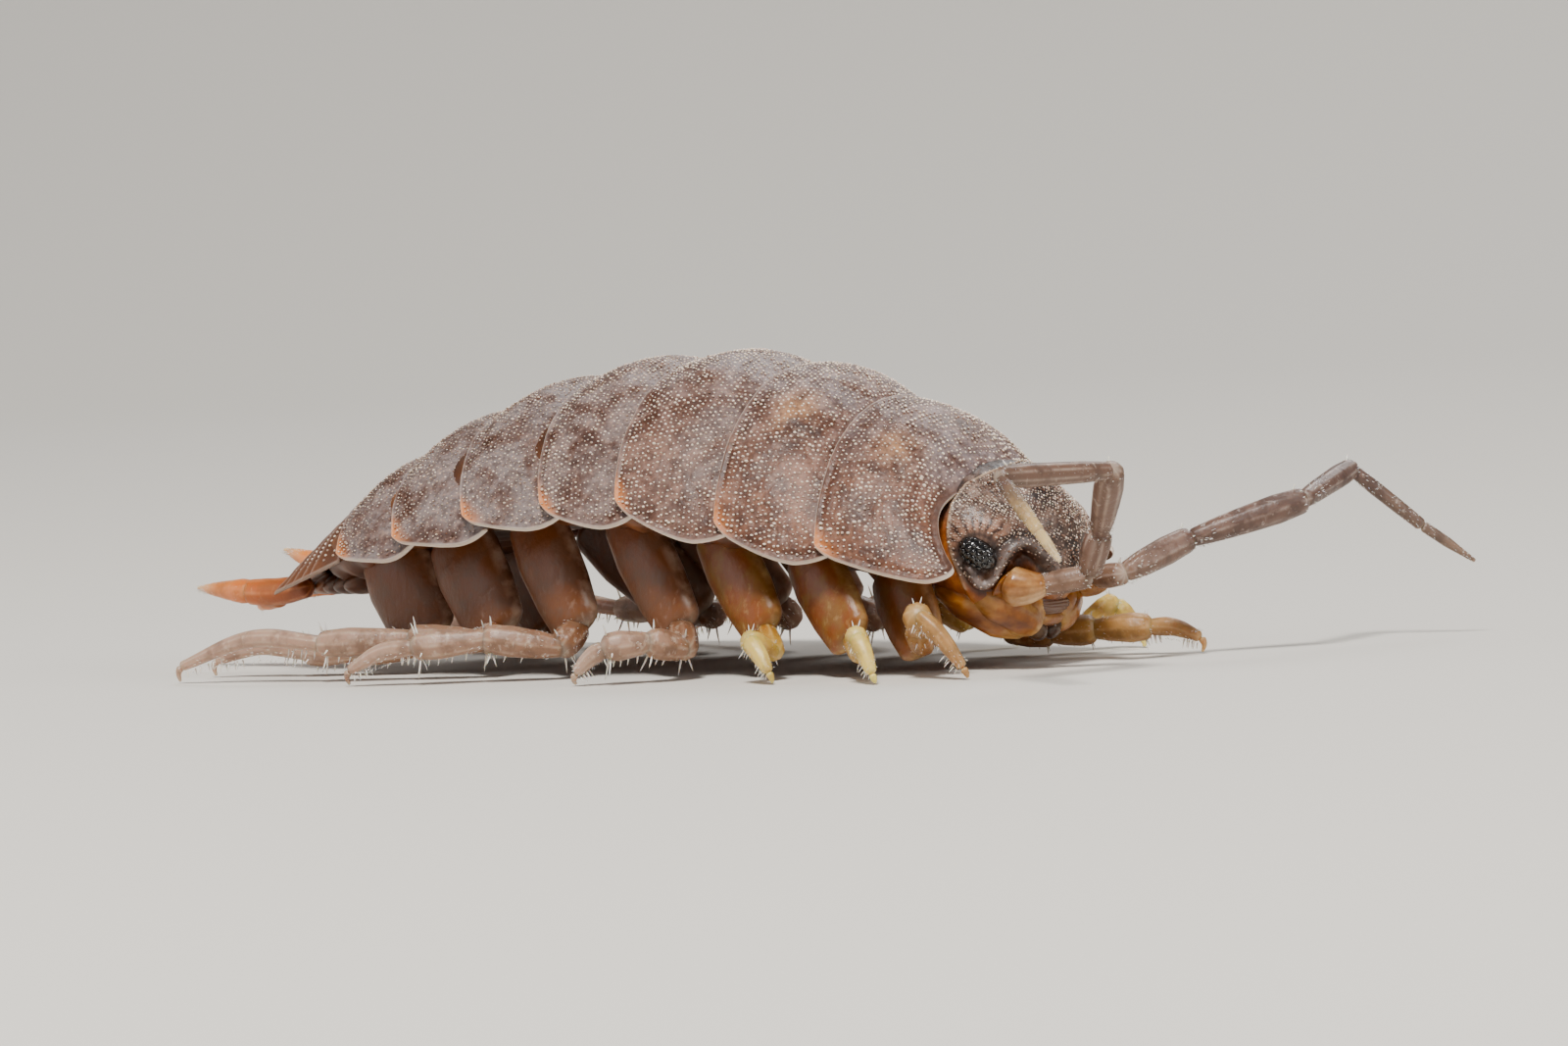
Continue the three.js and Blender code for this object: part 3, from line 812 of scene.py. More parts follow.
def addPlateGrains(index):
    spacing, scatter, rowShare = (grainRows[key] for key in ("spacing", "scatter", "rowShare"))
    line = np.linspace(-1, 1, grainRows["samples"])
    fine = np.linspace(0, 1, grainRows["samples"])
    arc = lengthAlong(platePoint(index, np.full_like(line, 0.6), line)[0])
    length = lengthAlong(platePoint(index, fine, np.full_like(fine, 0.5))[0])
    rows, count = int(length[-1] / (spacing * rowShare)), int(arc[-1] / spacing)
    row, number = (each.ravel() for each in np.meshgrid(np.arange(rows), np.arange(count), indexing="ij"))
    at = (number + 0.5 * (row % 2) + 0.25) * spacing + random.normal(0, scatter, len(row))
    deep = length[-1] - grainRows["firstRow"] - row * spacing * rowShare
    deep = deep + random.normal(0, scatter, len(row))
    frontClear = 0.1 if index else 0.2
    keep = (at > grainRows["clear"]) & (at < arc[-1] - grainRows["clear"]) & (deep > frontClear)
    keep &= random.uniform(size=len(row)) > grainRows["missing"]
    places, normals = plateNormal(index, np.interp(deep[keep], length, fine), np.interp(at[keep], arc, line))
    fading = smooth(1.5, 5.0, index)
    sizes = random.uniform(0.65, 1.3, len(places)) * (1 - 0.2 * fading + 0.3 * patchWaves.at(places))
    piece = Piece()
    ways = np.broadcast_to([1.0, 0, 0.0], places.shape)
    # The tone is partly the grains' own pale colour, partly painted highlight for their glints.
    tone = np.clip(random.normal(0.78 - 0.3 * fading, 0.22, len(places)), 0, 1)
    stretch = random.uniform(1.0, 1.6, len(places))
    radius, height = grainRows["radius"] * sizes, grainRows["height"] * sizes
    addGrains(piece, places, normals, ways, radius, height, stretch, tone=tone)
    piece.build(f"shellGrains{index + 1}", looks["grain"], (), "shell")


reliefWaves = Waves(0.7)
finePlateWaves = Waves(0.2)
patchWaves = Waves(0.9)
for plateIndex in range(len(trunkPlates)):
    addPlate(plateIndex)
print("plates done")

head = {
    "x": 6.2, "z": 2.02, "length": 1.37, "halfWidth": 1.7, "halfHeight": 1.36, "rows": 260, "columns": 350,
}
headCentre = np.array([head["x"], 0, head["z"]])
headRadii = np.array([head["length"], head["halfWidth"], head["halfHeight"]])

# The body under the plates: a closed form whose upper half follows the vault inside the shell and
# whose belly bulges between the leg roots, with a fold at each segment. Its front end is the neck,
# which narrows to the section of the head.
body = {
    "front": 6.32, "rear": -7.3, "rearLow": 1.5, "inset": 0.32, "under": 0.52, "edgeRise": 0.35,
    "neckStart": 5.5, "stations": 170, "sides": 64,
}


# Height of the plates' lowest edges, straight between the middles of the plates.
def lowAt(x):
    inner = [(a["back"] + b["back"]) / 2 for a, b in zip(trunkPlates, trunkPlates[1:])]
    middles = [body["neckStart"], *inner, body["rear"]]
    lows = [*(plate["low"] for plate in trunkPlates), body["rearLow"]]
    return np.interp(x, middles[::-1], lows[::-1])


def addBody():
    share = (1 - np.cos(np.linspace(0, 1, body["stations"])[1:-1] * math.pi))[:, None] / 2
    x = mix(body["rear"], body["front"], share)
    turn = np.linspace(0, 2 * math.pi, body["sides"], endpoint=False)[None, :]
    ending = np.sqrt(np.maximum(0, 1 - (2 * share - 1) ** 8))
    rearEnd = smooth(body["rear"], body["rear"] + 1.2, x)
    neck = smooth(body["neckStart"], body["front"] - 0.1, x)
    trunk = (trunkHalfWidth(x) - body["inset"]) * mix(0.6, 1, rearEnd)
    halfWidth = mix(trunk, head["halfWidth"] + 0.04, neck)
    edge = mix(lowAt(x) + body["edgeRise"], head["z"], neck)
    top = mix(backHeight(x) - body["under"], head["z"] + head["halfHeight"] + 0.02, neck)
    belly = lowAt(x) - 0.1 - 0.3 * smooth(-3.5, -5.5, x) + 0.05 * np.sin(x * 2 * math.pi / 0.55)
    floor = mix(belly, head["z"] - head["halfHeight"] + 0.15, neck)
    halfWidth, top, floor = halfWidth * ending, mix(edge, top, ending), mix(edge, floor, ending)
    high = np.maximum(np.cos(turn), 0) ** mix(0.8, 1.0, neck)
    deep = np.maximum(-np.cos(turn), 0) ** mix(0.6, 1.0, neck)
    ripple = 1 + 0.012 * np.sin(x * 2 * math.pi / 0.16) * neck
    y = halfWidth * np.sin(turn) * mix(0.93, 1, neck) * ripple
    z = edge + (top - edge) * high - (edge - floor) * deep
    grid = np.stack(np.broadcast_arrays(x, y, z), -1)
    piece = Piece()
    poles = [[body["rear"], 0, body["rearLow"] + body["edgeRise"]], [body["front"], 0, head["z"]]]
    addTube(piece, grid, *poles,neck=smooth(5.2, 5.9, x) * (1 - 0.95 * smooth(2.1, 2.7, z)))
    piece.build("bodySkin", looks["skin"], (), "leg")


addBody()

# Head: an egg across the body, raised and hollowed by the features below, each a bell of the
# distance from its place on the right side, and mirrored to the left. A thick ridge loops from
# under the eye over the feeler's socket, and a fine rim follows the head's rear edge.
ridgeLine = [
    [6.64, -1.58, 1.68], [6.72, -1.43, 1.45], [6.89, -1.34, 1.48], [7.03, -1.32, 1.66], [7.13, -1.28, 1.85],
    [7.25, -1.16, 2.0], [7.36, -0.99, 2.05], [7.44, -0.84, 1.94], [7.49, -0.64, 1.77], [7.51, -0.4, 1.6],
]
rearEdgeLine = [
    [6.66, 0.0, 3.31], [6.52, -0.7, 3.22], [6.33, -1.14, 3.03], [6.26, -1.49, 2.7], [6.3, -1.68, 2.24],
    [6.37, -1.7, 1.85], [6.43, -1.6, 1.53], [6.45, -1.47, 1.36],
]
headFeatures = [
    {"at": [7.34, -1.03, 1.76], "rise": -0.2, "width": 0.17},
    {"at": [7.2, -1.02, 1.5], "rise": -0.16, "width": 0.26},
    {"at": [7.52, -0.62, 1.5], "rise": -0.08, "width": 0.2},
    {"at": [6.62, -1.3, 1.2], "rise": 0.06, "width": 0.3},
    {"at": [7.3, -1.0, 2.45], "rise": -0.06, "width": 0.3},
    {"at": [7.4, 0.0, 1.25], "rise": 0.08, "width": 0.35},
    {"at": [6.77, -1.57, 1.92], "rise": -0.05, "width": 0.3},
    {"at": [7.1, -1.25, 2.3], "rise": 0.04, "width": 0.3},
    {"at": [7.0, -0.84, 2.93], "rise": -0.2, "width": 0.5},
]
amberPlaces = [
    ([7.34, -1.03, 1.74], 0.17), ([7.11, -0.98, 1.3], 0.4),
    ([6.6, -1.3, 1.15], 0.38), ([7.1, -0.6, 0.95], 0.5),
]
ridgeShape = {"width": 0.085, "height": 0.145, "crease": 0.16, "creaseWidth": 0.045, "creaseDepth": 0.04}
eyePlace = np.array([6.77, -1.55, 1.92])


# Distance of points from the line through the given places.
def lineDistance(points, places):
    best = np.full(points.shape[:-1], 9.0)
    for a, b in zip(places[:-1], places[1:]):
        along = np.clip(((points - a) @ (b - a)) / ((b - a) @ (b - a)), 0, 1)
        best = np.minimum(best, size(points - a - along[..., None] * (b - a))[..., 0])
    return best


# Point of the head for a direction from its centre, and what the material reads there.
def headPoint(way):
    egg = headCentre + way * headRadii
    half = np.concatenate([egg[..., :1], -np.abs(egg[..., 1:2]), egg[..., 2:]], -1)
    normal = unit(way / headRadii)
    rise = sum(each["rise"] * bell(size(half - each["at"])[..., 0], each["width"]) for each in headFeatures)
    fromRidge = lineDistance(half, curveAt(ridgeLine, np.linspace(0, 1, 30)))
    ridge = bell(fromRidge, ridgeShape["width"])
    crease = bell(fromRidge - ridgeShape["crease"], ridgeShape["creaseWidth"])
    rearEdge = lineDistance(half, curveAt(rearEdgeLine, np.linspace(0, 1, 24)))
    rising = np.array(rearEdgeLine[::-1])
    edgeX = np.interp(half[..., 2], rising[:, 2], rising[:, 0])
    behind = smooth(-0.02, 0.05, edgeX - egg[..., 0])
    rim = bell(rearEdge, 0.03)
    amber = sum(bell(size(half - np.array(place))[..., 0], width) for place, width in amberPlaces)
    amber = np.clip(amber * 1.4 - ridge, 0, 1)
    amber = np.maximum(amber, 1 - smooth(0.95, 1.25, half[..., 2]))
    fold = ridge * ridgeShape["height"] - crease * ridgeShape["creaseDepth"]
    out = rise + fold + rim * 0.03 - behind * 0.05
    fromEye = half - eyePlace
    away = size(fromEye)[..., 0]
    turn = np.arctan2(fromEye[..., 2], fromEye[..., 0] + 0.6 * fromEye[..., 1])
    streak = bell(away - 0.5, 0.22) * smooth(0.0, 0.15, fromEye[..., 2] + 0.1) * (1 - amber) * (1 - ridge)
    ray = np.sin(turn * 10 + 0.8 * headWaves.at(half)) ** 4
    masks = {
        "amber": np.maximum(amber, behind * smooth(2.8, 2.2, half[..., 2])),
        "ridge": ridge,
        "rim": rim,
        "streak": streak,
        "ray": ray,
        "behind": behind,
        # Painted shade deep in the hollow of the feeler's socket.
        "deep": bell(size(half - headFeatures[0]["at"])[..., 0], 0.16),
        # Painted shade in the creases beside the ridge and round the eye.
        "crease": np.maximum(crease, bell(away - 0.31, 0.05)),
    }
    return egg + normal * out[..., None], normal, masks


def addHead():
    points, normal, masks = headPoint(ballWays(head["rows"], head["columns"]))
    points = points + normal * (headWaves.at(points) * 0.012 + finePlateWaves.at(points) * 0.006)[..., None]
    poles = [headCentre - [0, 0, headRadii[2]], headCentre + [0, 0, headRadii[2]]]
    piece = Piece()
    addTube(piece, points, *poles, **masks)
    piece.build("head", looks["head"], ["cephalon"], "head")


# Grains of the head: places of a golden spiral over the ball, kept clear of the amber parts, the
# eye and the neck; they are small and crowded on the crown and sparse towards the face.
headGrains = {"count": 9800, "radius": 0.014, "height": 0.016, "jitter": 0.006}


def addHeadGrains():
    number = np.arange(headGrains["count"]) + 0.5
    z = 1 - 2 * number / headGrains["count"]
    turn = number * math.pi * (1 + math.sqrt(5))
    way = np.stack([np.sqrt(1 - z * z) * np.cos(turn), np.sqrt(1 - z * z) * np.sin(turn), z], -1)
    way = unit(way + random.normal(0, headGrains["jitter"], way.shape))
    points, normal, masks = headPoint(way)
    half = points.copy()
    half[:, 1] = -np.abs(half[:, 1])
    keep = (masks["amber"] < 0.3) & (masks["behind"] < 0.2) & (half[:, 2] > 1.0) & (half[:, 0] > 6.0)
    keep &= size(half - eyePlace)[:, 0] > 0.36
    keep &= random.uniform(size=len(way)) < 0.6 + 0.4 * smooth(1.8, 2.6, half[:, 2])
    points, normal, half = points[keep], normal[keep], half[keep]
    scale = random.uniform(0.6, 1.5, len(points))
    piece = Piece()
    ways = np.broadcast_to([1.0, 0, -0.3], points.shape)
    crowd = smooth(-0.2, 0.6, headWaves.at(half * 0.6)) * smooth(1.8, 2.6, half[:, 2])
    # The tone, lighter where grains crowd on the crown, is partly their own pale colour and partly painted
    # highlight.
    tone = np.clip(random.normal(0.3, 0.25, len(points)) + 0.35 * crowd, 0, 1)
    stretch = random.uniform(1.0, 1.5, len(points))
    radius, height = headGrains["radius"] * scale, headGrains["height"] * scale
    addGrains(piece, points, normal, ways, radius, height, stretch, tone=tone)
    piece.build("headGrains", looks["grain"], (), "head")


headWaves = Waves(0.35)
addHead()
addHeadGrains()
print("head done")

# Eyes: a flattened ball leaning forward and down, with rows of round lenses on its outer side.
eye = {
    "length": 0.35, "height": 0.235, "bulge": 0.22, "sunk": 0.09, "turn": 27.5, "tilt": 36,
    "lens": 0.052, "lensHeight": 0.034, "columnStep": 0.1, "rowStep": 0.088,
}


def addEye(side, name):
    slope = math.radians(eye["tilt"])
    lean = math.radians(eye["turn"])
    outward = np.array([math.sin(lean), side * math.cos(lean), 0])
    forward = np.array([math.cos(lean), -side * math.sin(lean), 0])
    upward = np.array([0, 0, 1.0])
    long = math.cos(slope) * forward - math.sin(slope) * upward
    wide = math.sin(slope) * forward + math.cos(slope) * upward
    axes = np.stack([long, outward, wide])
    radii = np.array([eye["length"], eye["bulge"], eye["height"]])
    middle = eyePlace * [1, -side, 1] - outward * eye["sunk"]
    piece = Piece()
    ball = ballWays(44, 60)
    poles = [middle - wide * radii[2], middle + wide * radii[2]]
    addTube(piece, middle + (ball * radii) @ axes, *poles)
    spots = []
    for row in range(-2, 3):
        count = 6 - abs(row)
        columns = (np.arange(count) - (count - 1) / 2) * eye["columnStep"]
        spots.append(np.stack([columns, np.full(count, row * eye["rowStep"])], -1))
    spots = np.concatenate(spots)
    flat = spots / radii[[0, 2]]
    depth = np.sqrt(np.maximum(0.03, 1 - (flat**2).sum(-1)))
    local = np.stack([spots[:, 0], depth * radii[1], spots[:, 1]], -1)
    normal = unit(local / radii**2)
    ways = np.broadcast_to(long, local.shape)
    addGrains(piece, middle + local @ axes, normal @ axes, ways, eye["lens"], eye["lensHeight"], sides=10)
    piece.build(f"eyeLenses_{name}", looks["eye"], [f"eye_{name}"], "eye")


for eyeSide, eyeName in ((-1, "right"), (1, "left")):
    addEye(eyeSide, eyeName)

# A turned form along a smooth path through the points. The radius follows radii, is rounded off at
# both ends, and has lengthwise folds: r (1 + depth cos(folds turn)); flat widens it sideways.
hoseShape = {"rows": 36, "sides": 32, "endRound": 0.75}


def addHose(
    piece, points, radii, flat=1.0, folds=0, depth=0.0, along=(0.0, 1.0), joint=0.05, lift=(0, 0, 1), **values
):
    t = (1 - np.cos(np.linspace(0, 1, hoseShape["rows"]) * math.pi))[1:-1] / 2
    path = curveAt(points, t)
    ends = curveAt(points, np.array([0.0, 1.0]))
    radius = np.interp(t, np.linspace(0, 1, len(radii)), radii)
    step = size(np.diff(np.concatenate([ends[:1], path, ends[1:]]), axis=0))[:, 0]
    fromStart = np.cumsum(step)[:-1]
    toEnd = np.cumsum(step[::-1])[::-1][1:]
    endRound = hoseShape["endRound"]
    near = np.minimum(fromStart / (radii[0] * endRound), toEnd / (radii[-1] * endRound))
    rounded = radius * np.sqrt(1 - (1 - np.clip(near, 0, 1)) ** 2)
    tangent = unit(np.gradient(np.concatenate([ends[:1], path, ends[1:]]), axis=0))[1:-1]
    side = unit(np.cross(tangent, np.asarray(lift, float)))
    third = np.cross(side, tangent)
    turn = np.linspace(0, 2 * math.pi, hoseShape["sides"], endpoint=False)
    wave = np.cos(folds * turn) if folds else 0 * turn
    ring = side[:, None] * (np.cos(turn) * flat)[None, :, None] + third[:, None] * np.sin(turn)[None, :, None]
    grid = path[:, None] + ring * (rounded[:, None] * (1 + depth * wave)[None, :])[..., None]
    pale = np.maximum(bell(fromStart, joint), bell(toEnd, joint))[:, None] * 0.75
    share = mix(along[0], along[1], t)[:, None]
    stripe = smooth(0.35, 1.0, wave)[None, :]
    addTube(piece, grid, ends[0], ends[1], along=share, pale=pale, stripe=stripe, **values)


# Mouthparts, right of the midline and mirrored: the inner cone, the broad amber base and the lobe
# on it, all with long folds, the mandible's dark tip, and the collar and bulb at the feeler's root.
# On the midline lie the shield with fine ribs and the lip below it.
mouthForms = [
    {
        "path": [[5.8, -0.75, 1.75], [6.35, -0.66, 1.3], [6.78, -0.42, 0.94], [6.92, -0.15, 0.66]],
        "radii": [0.45, 0.62, 0.5, 0.2], "folds": 19, "depth": 0.012,
    },
    {
        "path": [[5.7, -1.1, 1.62], [6.2, -0.95, 1.24], [6.6, -0.6, 0.86], [6.84, -0.26, 0.6]],
        "radii": [0.3, 0.44, 0.4, 0.16], "folds": 13, "depth": 0.02,
    },
    {
        "path": [[6.3, -1.14, 1.5], [6.7, -0.86, 1.14], [6.9, -0.52, 0.84], [6.94, -0.24, 0.62]],
        "radii": [0.3, 0.4, 0.34, 0.17], "folds": 11, "depth": 0.02,
    },
    {
        "path": [[6.94, -0.34, 0.78], [6.95, -0.18, 0.6], [6.9, -0.06, 0.5]],
        "radii": [0.15, 0.18, 0.11], "folds": 0, "depth": 0.0, "dark": 0.86,
    },
    {
        "path": [[6.86, -1.04, 1.52], [6.96, -1.02, 1.42], [7.06, -1.0, 1.34]],
        "radii": [0.34, 0.38, 0.34], "folds": 15, "depth": 0.02,
    },
    {
        "path": [[6.96, -1.08, 1.4], [7.14, -1.05, 1.36], [7.36, -0.96, 1.35], [7.62, -0.83, 1.38]],
        "radii": [0.28, 0.33, 0.27, 0.16], "folds": 17, "depth": 0.03, "cream": 0.55,
    },
]
lipForms = [
    {"at": [7.02, 0.0, 1.0], "radii": [0.27, 0.56, 0.2], "ribs": 26, "ribDepth": 0.02, "mauve": 0.95},
    {"at": [7.0, 0.0, 0.78], "radii": [0.22, 0.42, 0.14], "ribs": 0, "ribDepth": 0, "mauve": 0.35},
]


def addMouth():
    piece = Piece()
    for form in mouthForms:
        extra = {key: form[key] for key in ("dark", "cream") if key in form}
        for side in (1, -1):
            path = np.array(form["path"]) * [1, side, 1]
            addHose(piece, path, form["radii"], 1.0, form["folds"], form["depth"], **extra)
    for form in lipForms:
        ball = ballWays(90, 120)
        ribs = 1 + form["ribDepth"] * np.cos(ball[..., 2:] * form["ribs"])
        grid = np.array(form["at"]) + ball * np.array(form["radii"]) * ribs
        poles = [np.array(form["at"]) + [0, 0, sign * form["radii"][2]] for sign in (-1, 1)]
        addTube(piece, grid, *poles, mauve=form["mauve"])
    piece.build("mouthCone", looks["mouth"], ["mouthparts"], "mouth")


addMouth()
print("face done")


# Straight down the article, square to it, and the side across it.
def ventralFrame(start, end):
    way = unit(end - start)
    down = unit(np.array([0, 0, -1.0]) + way * way[2])
    return way, down, np.cross(way, down)


# Spines under and round an article: rows of share along it, angle from straight down, length.
def addArticleSpines(piece, start, end, radii, rows, radius=0.013, lean=0.35, scale=1.0):
    start, end = np.asarray(start, float), np.asarray(end, float)
    way, down, side = ventralFrame(start, end)
    rows = np.array(rows, float)
    turn = np.radians(rows[:, 1:2])
    outward = np.cos(turn) * down + np.sin(turn) * side
    at = mix(start, end, rows[:, :1]) + outward * (mix(radii[0], radii[1], rows[:, :1]) * 0.85)
    addSpines(piece, at, outward + way * lean, rows[:, 2] * scale, radius, way * 0.1)


# Fine hairs all round an article, leaning towards its far end.
def addHairs(piece, start, end, radii, count, length=0.055):
    start, end = np.asarray(start, float), np.asarray(end, float)
    way, down, side = ventralFrame(start, end)
    share = random.uniform(0.06, 0.97, (count, 1))
    turn = random.uniform(0, 2 * math.pi, (count, 1))
    outward = np.cos(turn) * down + np.sin(turn) * side
    at = mix(start, end, share) + outward * mix(radii[0], radii[1], share) * 0.95
    addSpines(piece, at, outward + way, length * random.uniform(0.6, 1.3, count), 0.0055, way * 0.2, 4)


# Joints of the right legs from the root to the claw on the floor; a root's height follows its plate.
# The left legs mirror them, moved along the body by leftShift, but for the first one.
rightLegs = [
    [[5.16, -1.55], [5.9, -1.9, 0.46], [6.15, -2.35, 0.75], [6.4, -2.78, 1.06], [7.22, -2.68, 0]],
    [[3.75, -1.95], [4.92, -2.5, 0.66], [5.4, -2.9, 0.42], [5.7, -3.5, 0.78], [6.14, -3.7, 0]],
    [[2.05, -2.05], [3.32, -2.6, 0.82], [3.76, -3.0, 0.45], [3.68, -3.6, 0.71], [4.23, -3.8, 0]],
    [
        [0.3, -2.1], [1.67, -2.6, 0.82], [2.04, -3.05, 0.51],
        [1.76, -3.6, 0.66], [1.25, -4.1, 0.62], [0.73, -4.3, 0],
    ],
    [
        [-1.6, -2.1], [-0.38, -2.6, 0.82], [-0.4, -3.05, 0.53],
        [-1.42, -3.7, 0.72], [-2.43, -4.3, 0.63], [-3.63, -4.6, 0],
    ],
    [
        [-3.3, -1.95], [-2.1, -2.4, 0.72], [-2.1, -2.85, 0.6],
        [-3.24, -3.3, 0.68], [-4.74, -3.8, 0.64], [-7.47, -4.2, 0],
    ],
    [
        [-4.85, -1.7], [-3.95, -1.9, 0.6], [-4.1, -2.15, 0.45],
        [-5.0, -2.4, 0.42], [-5.95, -2.65, 0.4], [-7.69, -2.95, 0],
    ],
]
leftShift = [0, 0.35, -0.3, -0.35, 0.3, 0.6, -0.25]
leftFirstLeg = [
    [5.15, 1.55], [5.2, 1.6, 0.45], [5.9, 1.8, 0.4], [6.6, 2.0, 0.44], [7.47, 2.3, 0.46], [8.32, 2.6, 0],
]
legShape = {
    "basis": [0.26, 0.32, 0.3, 0.24],
    "knee": [0.2, 0.25, 0.23],
    "merus": [0.15, 0.22, 0.25, 0.22],
    "carpus": [0.14, 0.2, 0.24, 0.2],
}
basisFlat = [1.75, 1.75, 1.75, 1.8, 1.95, 2.3, 2.4]
footShape = {"radii": [0.13, 0.155, 0.13, 0.08], "claw": [0.07, 0.045, 0.02], "clear": 0.24, "ankle": 0.88}
# Share along the article, degrees from straight down, length in millimetres.
carpusSpines = [
    [0.95, -14, 0.4], [0.93, 22, 0.34], [0.9, 60, 0.16], [0.97, 165, 0.26], [0.95, 195, 0.24],
    [0.3, 6, 0.15], [0.5, -6, 0.17], [0.68, 8, 0.18], [0.82, -8, 0.18],
]
merusSpines = [[0.95, -12, 0.32], [0.92, 18, 0.26], [0.96, 175, 0.2], [0.5, 0, 0.15], [0.72, 6, 0.17]]
footSpines = [
    [share, (-10, 12)[number % 2], 0.19 - 0.08 * share]
    for number, share in enumerate(np.linspace(0.1, 0.92, 10))
]


# The foot bends down into the claw, whose tip stands on the floor: a flat foot is carried clear of
# the floor and only its claw comes down, a steep one runs straight into it.
def addFoot(skin, spines, start, end, span):
    run = size((end - start)[:2])[0] / size(end - start)[0]
    ankle = mix(start, end, footShape["ankle"] + 0.1 * run)
    ankle[2] = max(ankle[2], footShape["clear"] * run + 0.05)
    middle = mix(start, ankle, 0.5) + [0, 0, 0.1 * run * size(ankle - start)[0]]
    radii = footShape["radii"]
    addHose(skin, [start, middle, ankle], radii, 1.0, 9, 0.03, (span, 0.95), 0.05)
    tip = end * [1, 0.985, 1] + [0, 0, 0.03]
    bend = mix(ankle, tip, 0.45) + unit(ankle - start) * 0.04
    addHose(skin, [ankle, bend, tip], footShape["claw"], along=(0.95, 1.0), joint=0.05)
    addArticleSpines(spines, start, middle, radii[:2], footSpines[:5], 0.014, 0.1)
    addArticleSpines(spines, middle, ankle, radii[1:3], footSpines[4:], 0.013, 0.1)
    addHairs(spines, start, ankle, (0.15, 0.11), 90, 0.04)


def addLeg(joints, index, side, look):
    skin, spines = Piece(), Piece()
    path = [np.array([*joint, 0][:3], float) for joint in joints]
    path[0][2] = trunkPlates[index]["low"] + 0.12
    knee = ["knee"] if len(path) > 5 else []
    names = ["basis", *knee, "merus", "carpus", "foot"]
    for order, (kind, start, end) in enumerate(zip(names, path, path[1:])):
        span = (order / len(names), (order + 1) / len(names))
        if kind == "foot":
            addFoot(skin, spines, start, end, span[0])
            continue
        radii = np.array(legShape[kind]) * (0.8 if kind != "basis" and index in (1, 2) else 1)
        way = unit(end - start)
        points = [start - way * radii[0] * 0.5, mix(start, end, 0.5), end + way * radii[-1] * 0.45]
        if kind == "basis":
            addHose(skin, points, radii, basisFlat[index], 2, 0.05, span, 0.06, (0, 1, 0.15))
            continue
        addHose(skin, points, radii, 1.0, 8, 0.03, span, 0.05)
        rows = carpusSpines if kind == "carpus" else merusSpines
        ends = (radii[1], radii[-1])
        thick, scale = (0.014, 0.55) if index < 3 else (0.02, 1.0)
        addArticleSpines(spines, start, end, ends, rows, thick, 0.12, scale)
        addHairs(spines, start, end, ends, 70, 0.045)
    number = index + 1
    skin.build(f"legSkin_{side}_{number}", looks[look], [f"leg_{side}_{number}"], "leg")
    spines.build(f"legSpines_{side}_{number}", looks["spine"], (), "leg")


for legIndex, rightJoints in enumerate(rightLegs):
    legLook = ["firstLeg", "yellowLeg", "yellowLeg", "leg"][min(legIndex, 3)]
    addLeg(rightJoints, legIndex, "right", legLook)
    moves = [0, *[leftShift[legIndex]] * (len(rightJoints) - 1)]
    mirrored = [[joint[0] + move, -joint[1], *joint[2:]] for joint, move in zip(rightJoints, moves)]
    addLeg(mirrored if legIndex else leftFirstLeg, legIndex, "left", legLook)
print("legs done")

# Feelers: five articles of the stalk and two of the lash, ribbed lengthwise, each stalk article
# ending in a cuff of small teeth.
feelerRadii = [
    [0.12, 0.17, 0.2, 0.18], [0.15, 0.21, 0.23, 0.2], [0.14, 0.19, 0.22, 0.24, 0.2],
    [0.14, 0.17, 0.18, 0.19, 0.16], [0.1, 0.12, 0.115, 0.1], [0.09, 0.085, 0.03],
]
feelers = {
    "right": [
        [7.2, -0.95, 1.31], [8.18, -0.53, 1.48], [8.56, -0.71, 2.16], [9.48, -1.71, 3.23],
        [8.82, -3.89, 3.27], [9.8, -4.36, 2.46], [10.34, -4.61, 2.01],
    ],
    "left": [
        [7.2, 0.95, 1.33], [8.09, 0.62, 1.44], [8.53, 1.93, 1.9], [9.84, 3.38, 2.43], [9.53, 5.39, 2.81],
        [10.37, 6.15, 1.84], [10.98, 6.79, 1.2],
    ],
}
cuffTeeth = [[0.97, angle, 0.07] for angle in range(0, 360, 36)]
for side, joints in feelers.items():
    feelerSkin, feelerHairs = Piece(), Piece()
    for order, (radii, start, end) in enumerate(zip(feelerRadii, np.array(joints), np.array(joints[1:]))):
        way = unit(end - start)
        points = [start + way * (0.02 if order else 0.18), mix(start, end, 0.5), end + way * radii[-1] * 0.45]
        ends = (radii[1], radii[-1])
        lash = order > 3
        folds, depth, hairs = (0, 0.0, 160) if lash else (9, 0.03, 240)
        addHose(feelerSkin, points, radii, 1.0, folds, depth, (order / 6, (order + 1) / 6), 0.04)
        addHairs(feelerHairs, start, end, ends, hairs, 0.04)
        if not lash:
            addArticleSpines(feelerHairs, start, end, ends, cuffTeeth, 0.016, 1.2)
            addArticleSpines(feelerHairs, start, end, ends, [[0.93, 180, 0.16]], 0.025, 0.6)
    feelerSkin.build(f"feeler_{side}", looks[f"lash_{side}"], [f"antenna_{side}"], "feeler")
    feelerHairs.build(f"feelerHairs_{side}", looks["spine"], (), "feeler")
print("feelers done")

# Tail: five narrow plates in steps whose lower corners run back into points.
pleon = {
    "count": 5, "segmentLength": 0.27, "halfWidth": 2.1, "narrowing": 0.13, "step": 0.1, "lowering": 0.08,
    "sweep": 0.12, "frontEdge": 1.7, "rearEdge": 1.3, "rows": 18, "columns": 120, "overlap": 0.18,
}
pleonGap = 0.25
pleonFront = trunkPlates[6]["back"] - pleonGap


